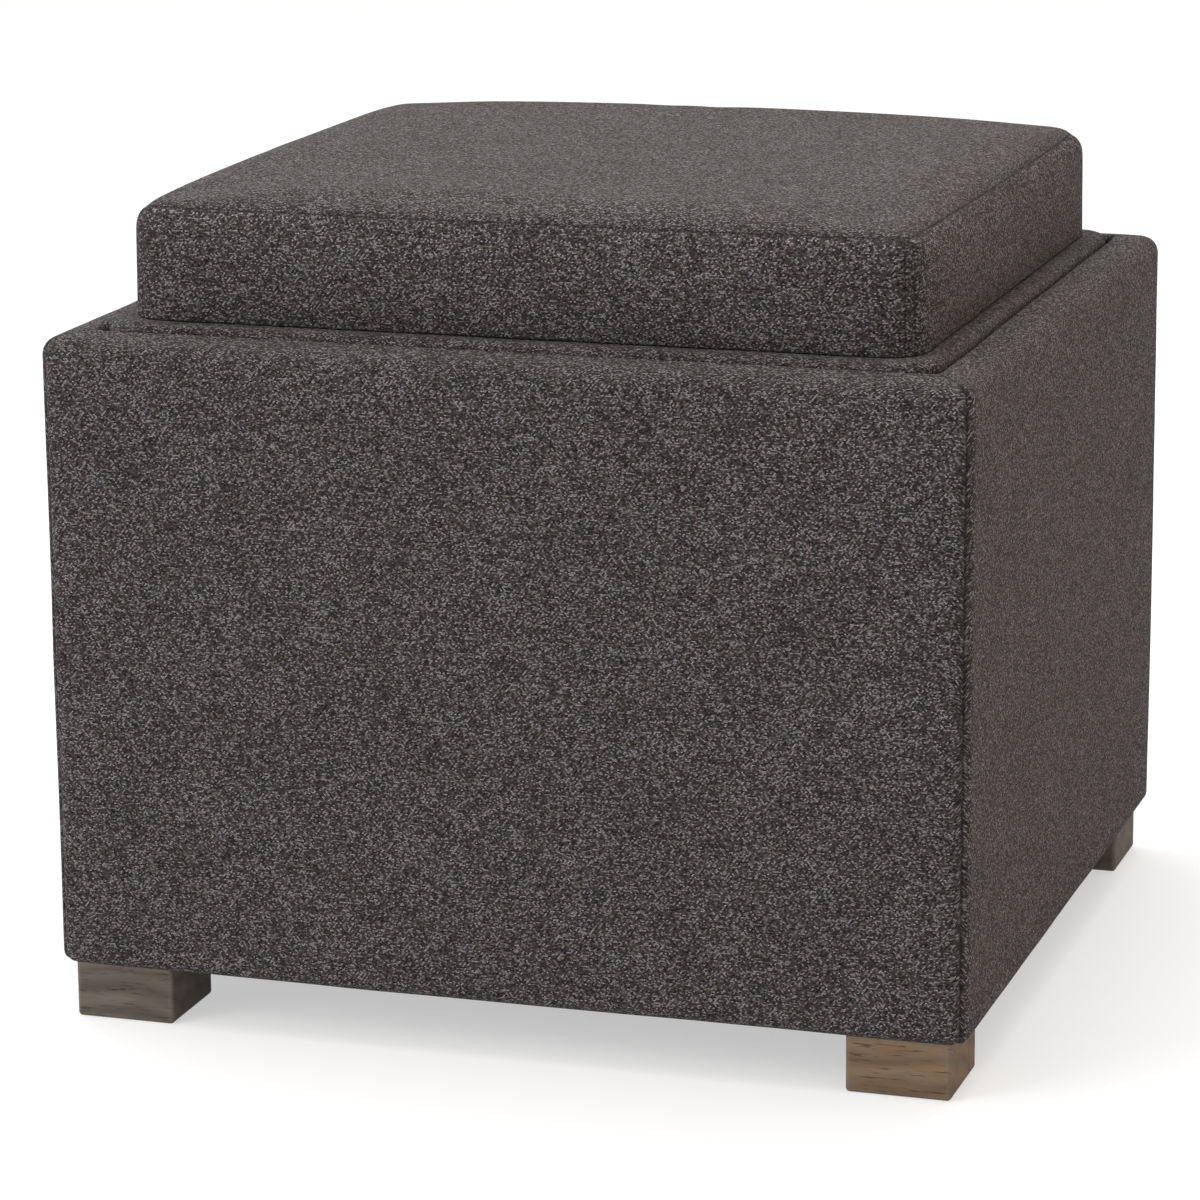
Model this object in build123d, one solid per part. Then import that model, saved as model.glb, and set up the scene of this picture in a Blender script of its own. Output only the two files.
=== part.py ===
from build123d import *
import os

# Square storage ottoman: an upholstered box on four block feet, closed by a loose lid.
# The lid is a padded cushion on a board that is wider than the cushion. The board drops into a
# recess inside the box's rim and rests on ledges. Turned over, the same lid is a serving tray.
#
# Millimetres. The origin is on the floor under the middle of the box, +Z is up, the front faces -Y.

# ---- Driving dimensions --------------------------------------------------------------------------

WIDTH = 450.0  # over the upholstery, left to right
DEPTH = 430.0  # over the upholstery, front to back

FOOT_SIZE = 50.0  # square block
FOOT_HEIGHT = 27.5
FOOT_INSET_X = 7.5  # from the box's side to the foot's side
FOOT_INSET_Y = 4.0
FOOT_EDGE_R = 2.0

FABRIC = 1.2  # upholstery cloth
BOX_EDGE_R = 9.0  # rounding of the upholstered box's upright and top edges
HEM_R = 5.0  # rounding of its bottom edges
RIM_INNER_R = 4.0  # rounding of the rim's inner top edge
RECESS_CORNER_R = 4.0  # rounding of the recess's upright corners
UNDER_FLAP = 20.2  # cloth turned under the box and stapled
WALL_PADDING = 4.0  # foam sheet between the cloth and the boards
WALL_BOARD = 15.0
WALL_HEIGHT = 289.0
BASE_BOARD = 12.0
BASE_CORNER_R = 4.0  # its eased upright corners, which let the cloth turn under

LEDGE_DROP = 21.9  # from the top of the rim down to the ledges
LEDGE_HEIGHT = 30.0
LEDGE_THICKNESS = 11.0

LINING = 0.8  # cloth inside the storage space
DUST_CLOTH = 0.8  # cloth that closes the underside
DUST_CLOTH_GAP = 0.3  # between the dust cloth and the turned-under upholstery

LID_GAP = 1.4  # all round, between the lid and the rim
LID_BOARD = 9.0
LID_WADDING = 1.5  # thin wadding over the lid board's top and edges
LID_EDGE_R = 4.0  # rounding of the lid's top edges
LID_CORNER_R = 15.0  # rounding of the lid's corners, in plan
RAIL_WIDTH = 14.0  # tray rim
RAIL_HEIGHT = 15.0
RAIL_EDGE_R = 2.0
TRAY_FLOOR = 3.0
TRAY_FLOOR_GAP = 0.1

CUSHION_INSET = 10.2  # from the lid's edge to the cushion's side
CUSHION_HEIGHT = 63.0  # at the middle of the crown
CUSHION_CROWN = 6.5  # drop from the middle to the corners
CUSHION_SEAM = 53.0  # height of the seam between the boxing and the top panel
CUSHION_CORNER_R = 12.0
CUSHION_ROLL_R = 10.0
CUSHION_WADDING = 6.0

SCREW_R = 2.0
SCREW_HEAD_R = 4.0
SCREW_HEAD_HEIGHT = 2.4
SCREW_POINT = 4.0
SCREW_SLOT_WIDTH = 0.9
SCREW_SLOT_DEPTH = 1.2
CORNER_SCREW_LENGTH = 45.0
BASE_SCREW_LENGTH = 40.0
LEDGE_SCREW_LENGTH = 22.0
RAIL_SCREW_LENGTH = 19.0
SCREWS_IN_A_ROW = 3
CORNER_SCREW_END = 40.0  # from a row's end screws to the board's edge
WALL_SCREW_END = 85.0
HOLE_CLEARANCE = 0.05  # radial, around every screw, bolt and nut

BOLT_R = 3.0
BOLT_INWARD = 6.0  # from the foot's centre towards the box's centre, along X and along Y
BOLT_IN_FOOT = 21.0
NUT_BARREL_R = 4.0
NUT_FLANGE_R = 8.0
NUT_FLANGE = 1.5
NUT_HEIGHT = 10.0

STAPLE_CROWN = 11.0
STAPLE_WIRE_WIDTH = 1.0
STAPLE_WIRE = 0.5
STAPLE_LEG = 7.0
STAPLE_INSET = 8.0  # from the dust cloth's edge
STAPLES_IN_A_ROW = 7
STAPLE_FOOT_MARGIN = 12.0  # from the end staples to the feet

# ---- Levels and half sizes worked out from them --------------------------------------------------

SKIN = FABRIC + WALL_PADDING
BASE_Z = FOOT_HEIGHT + FABRIC
WALL_Z = BASE_Z + BASE_BOARD
WALL_TOP_Z = WALL_Z + WALL_HEIGHT
RIM_Z = WALL_TOP_Z + SKIN
LEDGE_TOP_Z = RIM_Z - LEDGE_DROP
LEDGE_Z = LEDGE_TOP_Z - LEDGE_HEIGHT

HALF = Vector(WIDTH / 2, DEPTH / 2)  # over the upholstery
BOARDS = HALF - Vector(SKIN, SKIN)  # over the wall boards
INSIDE = BOARDS - Vector(WALL_BOARD, WALL_BOARD)  # between the wall boards
RECESS = INSIDE - Vector(FABRIC, FABRIC)  # inside the rim
LID = RECESS - Vector(LID_GAP, LID_GAP)  # over the lid's cloth
LID_SKIN = FABRIC + LID_WADDING
TRAY_CORNER_R = LID_CORNER_R - LID_SKIN
TRAY = LID - Vector(LID_SKIN, LID_SKIN)  # over the lid board and the tray rim
TRAY_INSIDE = TRAY - Vector(RAIL_WIDTH, RAIL_WIDTH)
CUSHION = LID - Vector(CUSHION_INSET, CUSHION_INSET)

LID_BOARD_Z = LEDGE_TOP_Z + RAIL_HEIGHT
LID_BOARD_TOP_Z = LID_BOARD_Z + LID_BOARD
CUSHION_Z = LID_BOARD_TOP_Z + LID_SKIN
CUSHION_TOP_Z = CUSHION_Z + CUSHION_HEIGHT
SEAM_Z = CUSHION_Z + CUSHION_SEAM

FOOT_X = WIDTH / 2 - FOOT_INSET_X - FOOT_SIZE / 2
FOOT_Y = DEPTH / 2 - FOOT_INSET_Y - FOOT_SIZE / 2
BOLT_X = FOOT_X - BOLT_INWARD
BOLT_Y = FOOT_Y - BOLT_INWARD

OVERCUT = 1.0  # how far a cutting solid runs past the face it opens
MITRE_REACH = 60.0  # how far a mitre wedge reaches in from the corner

SIDES = ("front", "back", "left", "right")
CORNERS = {
    "front_left": (-1, -1),
    "front_right": (1, -1),
    "back_left": (-1, 1),
    "back_right": (1, 1),
}
# Rotations that turn +Z to face each way.
FACING = {
    "front": (90, 0, 0),
    "back": (-90, 0, 0),
    "left": (0, -90, 0),
    "right": (0, 90, 0),
    "up": (0, 0, 0),
    "down": (180, 0, 0),
}
OPPOSITE = {"front": "back", "back": "front", "left": "right", "right": "left"}


# ---- Helpers -------------------------------------------------------------------------------------


def slab(half, z_low, z_high):
    """A block centred on the Z axis, half.X and half.Y to each side."""
    height = z_high - z_low
    return Pos(0, 0, z_low + height / 2) * Box(2 * half.X, 2 * half.Y, height)


def rounded_slab(half, z_low, z_high, upright_r, top_r, bottom_r=0.0):
    """A slab with its upright edges rounded, then its top and bottom rims."""
    body = slab(half, z_low, z_high)
    body = fillet(body.edges().filter_by(Axis.Z), upright_r)
    if top_r > 0:
        body = fillet(body.faces().sort_by(Axis.Z)[-1].edges(), top_r)
    if bottom_r > 0:
        body = fillet(body.faces().sort_by(Axis.Z)[0].edges(), bottom_r)
    return body


def mitre_wedge(side, half, z_low, z_high):
    """The part of space that belongs to one side of a frame with 45 degree mitres at its corners."""
    along, out = (half.X, half.Y) if side in ("front", "back") else (half.Y, half.X)
    points = [
        (-along - OVERCUT, out + OVERCUT),
        (along + OVERCUT, out + OVERCUT),
        (along - MITRE_REACH, out - MITRE_REACH),
        (-along + MITRE_REACH, out - MITRE_REACH),
    ]
    turn = {"back": 0, "left": 90, "front": 180, "right": 270}[side]
    outline = Rot(0, 0, turn) * make_face(Polyline(*points, close=True))
    return Pos(0, 0, z_low) * extrude(outline, z_high - z_low)


def mitred(ring, half, z_low, z_high):
    """A frame cut into its four sides."""
    return {side: ring & mitre_wedge(side, half, z_low, z_high) for side in SIDES}


def row(end, count=SCREWS_IN_A_ROW):
    """Evenly spaced positions from -end to end."""
    return [-end + 2 * end * i / (count - 1) for i in range(count)]


def screw_body(length, grow=0.0):
    """A countersunk screw's outer shape, its head's face at the origin and its point along -Z."""
    profile = Polyline(
        (0, 0),
        (SCREW_HEAD_R + grow, 0),
        (SCREW_R + grow, -SCREW_HEAD_HEIGHT),
        (SCREW_R + grow, -length + SCREW_POINT),
        (0, -length - grow),
        close=True,
    )
    return revolve(make_face(Plane.XZ * profile), Axis.Z)


def screw(length):
    """A countersunk screw with a cross recess."""
    reach = SCREW_HEAD_R
    slot = Box(reach, SCREW_SLOT_WIDTH, 2 * SCREW_SLOT_DEPTH)
    return screw_body(length) - slot - Rot(0, 0, 90) * slot


def screw_places_at_corners():
    """Screws through the front and back boards into the ends of the side boards."""
    middle = WALL_Z + WALL_HEIGHT / 2
    heights = row(WALL_HEIGHT / 2 - CORNER_SCREW_END)
    x = BOARDS.X - WALL_BOARD / 2
    return [
        Pos(sign * x, out * BOARDS.Y, middle + z) * Rot(*FACING[side])
        for side, out in (("front", -1), ("back", 1))
        for sign in (-1, 1)
        for z in heights
    ]


def places_along_walls(offset, z, facing, end):
    """A row of screws along each wall, their heads offset in from the boards' outer faces."""
    x, y = BOARDS.X - offset, BOARDS.Y - offset
    places = [
        Pos(t, out * y, z) * Rot(*FACING[facing or OPPOSITE[side]])
        for side, out in (("front", -1), ("back", 1))
        for t in row(BOARDS.X - end)
    ]
    places += [
        Pos(out * x, t, z) * Rot(*FACING[facing or OPPOSITE[side]])
        for side, out in (("left", -1), ("right", 1))
        for t in row(BOARDS.Y - end)
    ]
    return places


def screw_places_under_base():
    return places_along_walls(WALL_BOARD / 2, BASE_Z, "down", WALL_SCREW_END)


def screw_places_in_ledges():
    offset = WALL_BOARD + LEDGE_THICKNESS
    return places_along_walls(offset, LEDGE_Z + LEDGE_HEIGHT / 2, None, WALL_SCREW_END)


def screw_places_in_lid():
    offset = BOARDS.X - TRAY.X + RAIL_WIDTH / 2
    return places_along_walls(offset, LID_BOARD_TOP_Z, "up", WALL_SCREW_END)


def screws(places, length):
    """Identical screws as one group of separate solids."""
    one = screw(length)
    return [place * one for place in places]


def drilled(board, places, length):
    """A board with the holes of those screws."""
    hole = screw_body(length, HOLE_CLEARANCE)
    near = board.bounding_box()
    for place in places:
        cutter = place * hole
        box = cutter.bounding_box()
        apart = any(
            low > high
            for low, high in (
                (box.min.X, near.max.X),
                (near.min.X, box.max.X),
                (box.min.Y, near.max.Y),
                (near.min.Y, box.max.Y),
                (box.min.Z, near.max.Z),
                (near.min.Z, box.max.Z),
            )
        )
        if not apart:
            board = board - cutter
    return board


# ---- The box -------------------------------------------------------------------------------------


def wall_boards():
    """Four boards that stand on the base, the front and back ones over the ends of the side ones."""
    middle = WALL_Z + WALL_HEIGHT / 2
    long_board = Box(2 * BOARDS.X, WALL_BOARD, WALL_HEIGHT)
    short_board = Box(WALL_BOARD, 2 * INSIDE.Y, WALL_HEIGHT)
    x, y = BOARDS.X - WALL_BOARD / 2, BOARDS.Y - WALL_BOARD / 2
    boards = {
        "front_board": Pos(0, -y, middle) * long_board,
        "back_board": Pos(0, y, middle) * long_board,
        "left_board": Pos(-x, 0, middle) * short_board,
        "right_board": Pos(x, 0, middle) * short_board,
    }
    for name, board in boards.items():
        board = drilled(board, screw_places_at_corners(), CORNER_SCREW_LENGTH)
        board = drilled(board, screw_places_under_base(), BASE_SCREW_LENGTH)
        boards[name] = drilled(board, screw_places_in_ledges(), LEDGE_SCREW_LENGTH)
    return boards


def base_board():
    """The floor of the box, with the seats of the tee nuts in its top."""
    board = rounded_slab(BOARDS, BASE_Z, WALL_Z, BASE_CORNER_R, 0)
    board = drilled(board, screw_places_under_base(), BASE_SCREW_LENGTH)
    bore = Cylinder(NUT_BARREL_R + HOLE_CLEARANCE, 2 * BASE_BOARD)
    seat = Cylinder(NUT_FLANGE_R + HOLE_CLEARANCE, 2 * NUT_FLANGE)
    for sx, sy in CORNERS.values():
        board = board - Pos(sx * BOLT_X, sy * BOLT_Y, WALL_Z) * (bore + seat)
    return board


def ledges():
    """Four strips inside the walls that carry the lid."""
    middle = LEDGE_Z + LEDGE_HEIGHT / 2
    inner = INSIDE - Vector(LEDGE_THICKNESS, LEDGE_THICKNESS)
    long_strip = Box(2 * INSIDE.X, LEDGE_THICKNESS, LEDGE_HEIGHT)
    short_strip = Box(LEDGE_THICKNESS, 2 * inner.Y, LEDGE_HEIGHT)
    x, y = INSIDE.X - LEDGE_THICKNESS / 2, INSIDE.Y - LEDGE_THICKNESS / 2
    strips = {
        "front_ledge": Pos(0, -y, middle) * long_strip,
        "back_ledge": Pos(0, y, middle) * long_strip,
        "left_ledge": Pos(-x, 0, middle) * short_strip,
        "right_ledge": Pos(x, 0, middle) * short_strip,
    }
    places = screw_places_in_ledges()
    return {name: drilled(strip, places, LEDGE_SCREW_LENGTH) for name, strip in strips.items()}


def rimmed_box(half, opening, z_low, z_high, outer_r, hem_r, inner_r, corner_r):
    """A rounded block with the lid's recess sunk into its top, the recess's rim rounded too."""
    block = rounded_slab(half, z_low, z_high, outer_r, outer_r, hem_r)
    recess = slab(opening, LEDGE_TOP_Z, z_high + OVERCUT)
    if corner_r > 0:
        recess = fillet(recess.edges().filter_by(Axis.Z), corner_r)
    block = block - recess
    rim = block.faces().sort_by(Axis.Z)[-1].inner_wires()[0]
    return fillet(rim.edges(), inner_r)


def padded_box():
    """The outer shape of the padding, which is the upholstery's inner face."""
    half = HALF - Vector(FABRIC, FABRIC)
    outer_r, hem_r, inner_r = (r - FABRIC for r in (BOX_EDGE_R, HEM_R, RIM_INNER_R))
    return rimmed_box(half, INSIDE, BASE_Z, RIM_Z - FABRIC, outer_r, hem_r, inner_r, 0)


def wall_padding():
    """Foam sheets on the outside of the walls, which also cover their top edges."""
    ring = padded_box() - slab(BOARDS, WALL_Z, WALL_TOP_Z)
    ring = ring - rounded_slab(BOARDS, BASE_Z - OVERCUT, WALL_Z, BASE_CORNER_R, 0)
    ring = ring - slab(INSIDE, BASE_Z - OVERCUT, RIM_Z + OVERCUT)
    quarters = mitred(ring, HALF, BASE_Z - OVERCUT, RIM_Z + OVERCUT)
    return {f"{side}_padding": quarter for side, quarter in quarters.items()}


def wall_covers():
    """Upholstery cloth: over the wall, over the rim, down to the ledge, and turned under below."""
    rounding = (BOX_EDGE_R, HEM_R, RIM_INNER_R, RECESS_CORNER_R)
    outside = rimmed_box(HALF, RECESS, FOOT_HEIGHT, RIM_Z, *rounding)
    flap_end = HALF - Vector(UNDER_FLAP, UNDER_FLAP)
    cloth = outside - padded_box() - slab(flap_end, FOOT_HEIGHT - OVERCUT, BASE_Z)
    quarters = mitred(cloth, HALF, FOOT_HEIGHT - OVERCUT, RIM_Z + OVERCUT)
    return {f"{side}_cover": quarter for side, quarter in quarters.items()}


def lining():
    """Cloth on the storage space's floor and walls, up to the ledges."""
    floor_top = WALL_Z + LINING
    middle, height = (floor_top + LEDGE_Z) / 2, LEDGE_Z - floor_top
    long_sheet = Box(2 * INSIDE.X, LINING, height)
    short_sheet = Box(LINING, 2 * (INSIDE.Y - LINING), height)
    x, y = INSIDE.X - LINING / 2, INSIDE.Y - LINING / 2
    return {
        "floor_lining": slab(INSIDE, WALL_Z, floor_top),
        "front_lining": Pos(0, -y, middle) * long_sheet,
        "back_lining": Pos(0, y, middle) * long_sheet,
        "left_lining": Pos(-x, 0, middle) * short_sheet,
        "right_lining": Pos(x, 0, middle) * short_sheet,
    }


def dust_cloth_half():
    """The dust cloth's half size: inside the turned-under upholstery."""
    inset = UNDER_FLAP + DUST_CLOTH_GAP
    return HALF - Vector(inset, inset)


def dust_cloth():
    """Thin cloth that closes the underside, with a hole for each foot's bolt."""
    sheet = slab(dust_cloth_half(), BASE_Z - DUST_CLOTH, BASE_Z)
    hole = Cylinder(BOLT_R + HOLE_CLEARANCE, 2 * BASE_BOARD)
    for sx, sy in CORNERS.values():
        sheet = sheet - Pos(sx * BOLT_X, sy * BOLT_Y, BASE_Z) * hole
    return sheet


def staples():
    """Staples through the dust cloth into the base, in rows between the feet."""
    crown_z = BASE_Z - DUST_CLOTH - STAPLE_WIRE / 2
    leg_x = (STAPLE_CROWN - STAPLE_WIRE) / 2
    leg = Box(STAPLE_WIRE, STAPLE_WIRE_WIDTH, STAPLE_LEG)
    one = Box(STAPLE_CROWN, STAPLE_WIRE_WIDTH, STAPLE_WIRE)
    for sign in (-1, 1):
        one = one + Pos(sign * leg_x, 0, (STAPLE_LEG - STAPLE_WIRE) / 2) * leg
    edge = dust_cloth_half() - Vector(STAPLE_INSET, STAPLE_INSET)
    reach = FOOT_SIZE / 2 + STAPLE_FOOT_MARGIN
    group = []
    for sign in (-1, 1):
        for t in row(FOOT_X - reach, STAPLES_IN_A_ROW):
            group.append(Pos(t, sign * edge.Y, crown_z) * one)
        for t in row(FOOT_Y - reach, STAPLES_IN_A_ROW):
            group.append(Pos(sign * edge.X, t, crown_z) * Rot(0, 0, 90) * one)
    return group


# ---- Feet and what holds them --------------------------------------------------------------------


def feet():
    """Four wooden blocks, each with a blind hole for its bolt."""
    block = Pos(0, 0, FOOT_HEIGHT / 2) * Box(FOOT_SIZE, FOOT_SIZE, FOOT_HEIGHT)
    block = fillet(block.edges().filter_by(Axis.Z), FOOT_EDGE_R)
    block = fillet(block.faces().sort_by(Axis.Z)[0].edges(), FOOT_EDGE_R)
    hole_depth = BOLT_IN_FOOT + HOLE_CLEARANCE
    hole = Cylinder(BOLT_R + HOLE_CLEARANCE, 2 * hole_depth)
    made = {}
    for corner, (sx, sy) in CORNERS.items():
        foot = Pos(sx * FOOT_X, sy * FOOT_Y) * block
        made[f"{corner}_foot"] = foot - Pos(sx * BOLT_X, sy * BOLT_Y, FOOT_HEIGHT) * hole
    return made


def foot_bolts():
    """A headless bolt in each foot, up into its tee nut."""
    low = FOOT_HEIGHT - BOLT_IN_FOOT
    length = WALL_Z - NUT_FLANGE / 2 - low
    bolt = chamfer(Cylinder(BOLT_R, length).edges(), BOLT_R / 4)
    return [
        Pos(sx * BOLT_X, sy * BOLT_Y, low + length / 2) * bolt for sx, sy in CORNERS.values()
    ]


def tee_nuts():
    """A tee nut for each foot, let into the top of the base."""
    flange = Pos(0, 0, -NUT_FLANGE / 2) * Cylinder(NUT_FLANGE_R, NUT_FLANGE)
    barrel = Pos(0, 0, -NUT_HEIGHT / 2) * Cylinder(NUT_BARREL_R, NUT_HEIGHT)
    nut = flange + barrel - Cylinder(BOLT_R + HOLE_CLEARANCE, 3 * NUT_HEIGHT)
    return [Pos(sx * BOLT_X, sy * BOLT_Y, WALL_Z) * nut for sx, sy in CORNERS.values()]


# ---- The lid -------------------------------------------------------------------------------------


def tray_rails():
    """The tray's mitred wooden rim, under the lid board."""
    ring = rounded_slab(TRAY, LEDGE_TOP_Z, LID_BOARD_Z, TRAY_CORNER_R, 0)
    ring = ring - slab(TRAY_INSIDE, LEDGE_TOP_Z - OVERCUT, LID_BOARD_Z + OVERCUT)
    ring = fillet(ring.faces().sort_by(Axis.Z)[0].edges(), RAIL_EDGE_R)
    rails = mitred(ring, TRAY, LEDGE_TOP_Z - OVERCUT, LID_BOARD_Z + OVERCUT)
    places = screw_places_in_lid()
    return {
        f"{side}_tray_rail": drilled(rail, places, RAIL_SCREW_LENGTH)
        for side, rail in rails.items()
    }


def tray_floor():
    """The veneered panel between the rails."""
    half = TRAY_INSIDE - Vector(TRAY_FLOOR_GAP, TRAY_FLOOR_GAP)
    return slab(half, LID_BOARD_Z - TRAY_FLOOR, LID_BOARD_Z)


def lid_board():
    board = rounded_slab(TRAY, LID_BOARD_Z, LID_BOARD_TOP_Z, TRAY_CORNER_R, 0)
    return drilled(board, screw_places_in_lid(), RAIL_SCREW_LENGTH)


def lid_core():
    """The outer shape of the lid's wadding."""
    half = LID - Vector(FABRIC, FABRIC)
    corner_r, edge_r = LID_CORNER_R - FABRIC, LID_EDGE_R - FABRIC
    return rounded_slab(half, LID_BOARD_Z, CUSHION_Z - FABRIC, corner_r, edge_r)


def lid_wadding():
    """Thin wadding over the lid board's top and edges."""
    board = rounded_slab(TRAY, LID_BOARD_Z - OVERCUT, LID_BOARD_TOP_Z, TRAY_CORNER_R, 0)
    return lid_core() - board


def lid_cover():
    """Cloth over the wadding. It shows as a soft flange round the cushion."""
    low = LID_BOARD_Z - FABRIC
    cloth = rounded_slab(LID, low, CUSHION_Z, LID_CORNER_R, LID_EDGE_R)
    opening = rounded_slab(TRAY, low - OVERCUT, LID_BOARD_Z, TRAY_CORNER_R, 0)
    return cloth - lid_core() - opening


def crowned_block(inset):
    """The cushion's shape with its sides and top moved in by inset."""
    half = CUSHION - Vector(inset, inset)
    low = CUSHION_Z if inset == 0 else CUSHION_Z + FABRIC
    corner_r = CUSHION_CORNER_R - inset
    reach = (CUSHION.X**2 + CUSHION.Y**2) ** 0.5
    dome_r = (reach**2 + CUSHION_CROWN**2) / (2 * CUSHION_CROWN)
    block = rounded_slab(half, low, CUSHION_TOP_Z + OVERCUT, corner_r, 0)
    block = block & Pos(0, 0, CUSHION_TOP_Z - dome_r) * Sphere(dome_r - inset)
    top = block.faces().sort_by(Axis.Z)[-1]
    return fillet(top.edges(), CUSHION_ROLL_R - inset)


def cushion():
    """Foam, a wadding wrap, and a sewn cover: a top panel, four boxing strips and a base cloth."""
    wadding_outside = crowned_block(FABRIC)
    foam = crowned_block(FABRIC + CUSHION_WADDING)
    shell = crowned_block(0) - wadding_outside
    base_top = CUSHION_Z + FABRIC
    high = CUSHION_TOP_Z + OVERCUT
    parts = {
        "cushion_foam": foam,
        "cushion_wadding": wadding_outside - foam,
        "cushion_base_cloth": shell & slab(HALF, CUSHION_Z - OVERCUT, base_top),
        "cushion_top_cover": shell & slab(HALF, SEAM_Z, high),
    }
    band = shell & slab(HALF, base_top, SEAM_Z)
    for side, strip in mitred(band, CUSHION, base_top, SEAM_Z).items():
        parts[f"cushion_{side}_boxing"] = strip
    return parts


# ---- Everything ----------------------------------------------------------------------------------


def all_parts():
    """Every node by name: a solid, or a list of separate solids for a group."""
    return {
        "base_board": base_board(),
        **wall_boards(),
        **ledges(),
        **wall_padding(),
        **wall_covers(),
        **lining(),
        "dust_cloth": dust_cloth(),
        "dust_cloth_staples": staples(),
        "corner_screws": screws(screw_places_at_corners(), CORNER_SCREW_LENGTH),
        "base_screws": screws(screw_places_under_base(), BASE_SCREW_LENGTH),
        "ledge_screws": screws(screw_places_in_ledges(), LEDGE_SCREW_LENGTH),
        **feet(),
        "foot_bolts": foot_bolts(),
        "tee_nuts": tee_nuts(),
        **tray_rails(),
        "tray_floor": tray_floor(),
        "lid_board": lid_board(),
        "rail_screws": screws(screw_places_in_lid(), RAIL_SCREW_LENGTH),
        "lid_wadding": lid_wadding(),
        "lid_cover": lid_cover(),
        **cushion(),
    }


def main():
    os.makedirs("parts", exist_ok=True)
    for name, shape in all_parts().items():
        pieces = shape if isinstance(shape, list) else [shape]
        solids = [solid for piece in pieces for solid in piece.solids()]
        whole = solids[0] if len(solids) == 1 else Compound(children=solids)
        export_step(whole, f"parts/{name}.step")


main()
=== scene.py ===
"""A square storage ottoman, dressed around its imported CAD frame.

The box is upholstered in a charcoal heathered weave and stands on four stained wooden blocks.
A cushion on a padded board drops into a recess inside the rim, and lifts out to open the box.
Turned over, the board's underside is a wooden tray. Metres, +Z up, the front faces -Y.
"""

import logging
import math
from contextlib import contextmanager
from dataclasses import dataclass
from enum import Enum
from typing import Callable, Iterator, Optional, Sequence, Union

import bmesh
import bpy
import numpy as np
from mathutils import Matrix, Vector


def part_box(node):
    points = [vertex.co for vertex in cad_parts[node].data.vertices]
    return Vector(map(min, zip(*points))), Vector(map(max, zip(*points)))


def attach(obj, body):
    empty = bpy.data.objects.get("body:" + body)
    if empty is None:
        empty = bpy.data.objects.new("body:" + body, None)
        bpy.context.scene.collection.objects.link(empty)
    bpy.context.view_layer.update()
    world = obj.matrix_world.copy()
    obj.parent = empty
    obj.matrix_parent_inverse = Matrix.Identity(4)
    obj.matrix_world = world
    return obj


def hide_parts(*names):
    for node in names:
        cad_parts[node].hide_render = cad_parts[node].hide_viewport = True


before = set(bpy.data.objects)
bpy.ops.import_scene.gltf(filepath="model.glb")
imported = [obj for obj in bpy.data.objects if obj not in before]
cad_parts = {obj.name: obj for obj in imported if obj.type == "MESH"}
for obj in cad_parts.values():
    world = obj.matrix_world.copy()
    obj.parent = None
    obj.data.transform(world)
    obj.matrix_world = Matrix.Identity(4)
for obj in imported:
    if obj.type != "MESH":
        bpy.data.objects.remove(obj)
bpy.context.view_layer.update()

LOG = logging.getLogger("ottoman")
MM = 0.001
HAIR = 0.2 * MM
WELD = 0.05 * MM
ROOT_HALF = 0.7071
STEEP = 0.9

Colour = tuple[float, float, float, float]
Value = Union[float, Sequence[float], bpy.types.NodeSocket]

X_AXIS, Y_AXIS, Z_AXIS = (Vector(row) for row in ((1, 0, 0), (0, 1, 0), (0, 0, 1)))


class Side(Enum):
    """A side of the ottoman, with the direction that it faces in plan."""

    FRONT = (0, -1)
    BACK = (0, 1)
    LEFT = (-1, 0)
    RIGHT = (1, 0)

    @property
    def label(self) -> str:
        """The side's name in lower case, as the CAD nodes have it."""
        return self.name.lower()

    @property
    def outward(self) -> Vector:
        """The direction that the side faces."""
        return Vector((*self.value, 0))

    @property
    def along(self) -> Vector:
        """The direction that runs along the side."""
        return Vector((abs(self.value[1]), abs(self.value[0]), 0))


class Corner(Enum):
    """A corner of the ottoman, as signs of X and Y."""

    FRONT_LEFT = (-1, -1)
    FRONT_RIGHT = (1, -1)
    BACK_LEFT = (-1, 1)
    BACK_RIGHT = (1, 1)

    @property
    def label(self) -> str:
        """The corner's name in lower case, as the CAD nodes have it."""
        return self.name.lower()


# ---- Modelling bench -----------------------------------------------------------------------------


def only(piece: bpy.types.Object) -> None:
    """Selects one piece alone and makes it active.

    Args:
        piece: The piece to work on.
    """
    bpy.ops.object.select_all(action="DESELECT")
    piece.select_set(True)
    bpy.context.view_layer.objects.active = piece


@contextmanager
def editing(piece: bpy.types.Object) -> Iterator[None]:
    """Opens a piece in edit mode with nothing selected, and closes it again.

    Args:
        piece: The piece to edit.
    """
    only(piece)
    bpy.ops.object.mode_set(mode="EDIT")
    bpy.ops.mesh.select_all(action="DESELECT")
    yield
    bpy.ops.object.mode_set(mode="OBJECT")


def pick_faces(piece: bpy.types.Object, test: Callable[[Vector, Vector], bool]) -> None:
    """Selects the faces that pass a test, in edit mode.

    Args:
        piece: The piece in edit mode.
        test: Takes a face's centre and normal.
    """
    bpy.ops.mesh.select_mode(type="FACE")
    bpy.ops.mesh.select_all(action="DESELECT")
    mesh = bmesh.from_edit_mesh(piece.data)
    mesh.normal_update()
    for face in mesh.faces:
        face.select = test(face.calc_center_median(), face.normal)
    bmesh.update_edit_mesh(piece.data)


def pick_edges(piece: bpy.types.Object, test: Callable[[Vector, Vector], bool]) -> None:
    """Selects the edges that pass a test, in edit mode.

    Args:
        piece: The piece in edit mode.
        test: Takes an edge's two ends.
    """
    bpy.ops.mesh.select_mode(type="EDGE")
    bpy.ops.mesh.select_all(action="DESELECT")
    mesh = bmesh.from_edit_mesh(piece.data)
    for edge in mesh.edges:
        edge.select = test(edge.verts[0].co, edge.verts[1].co)
    bmesh.update_edit_mesh(piece.data)


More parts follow.
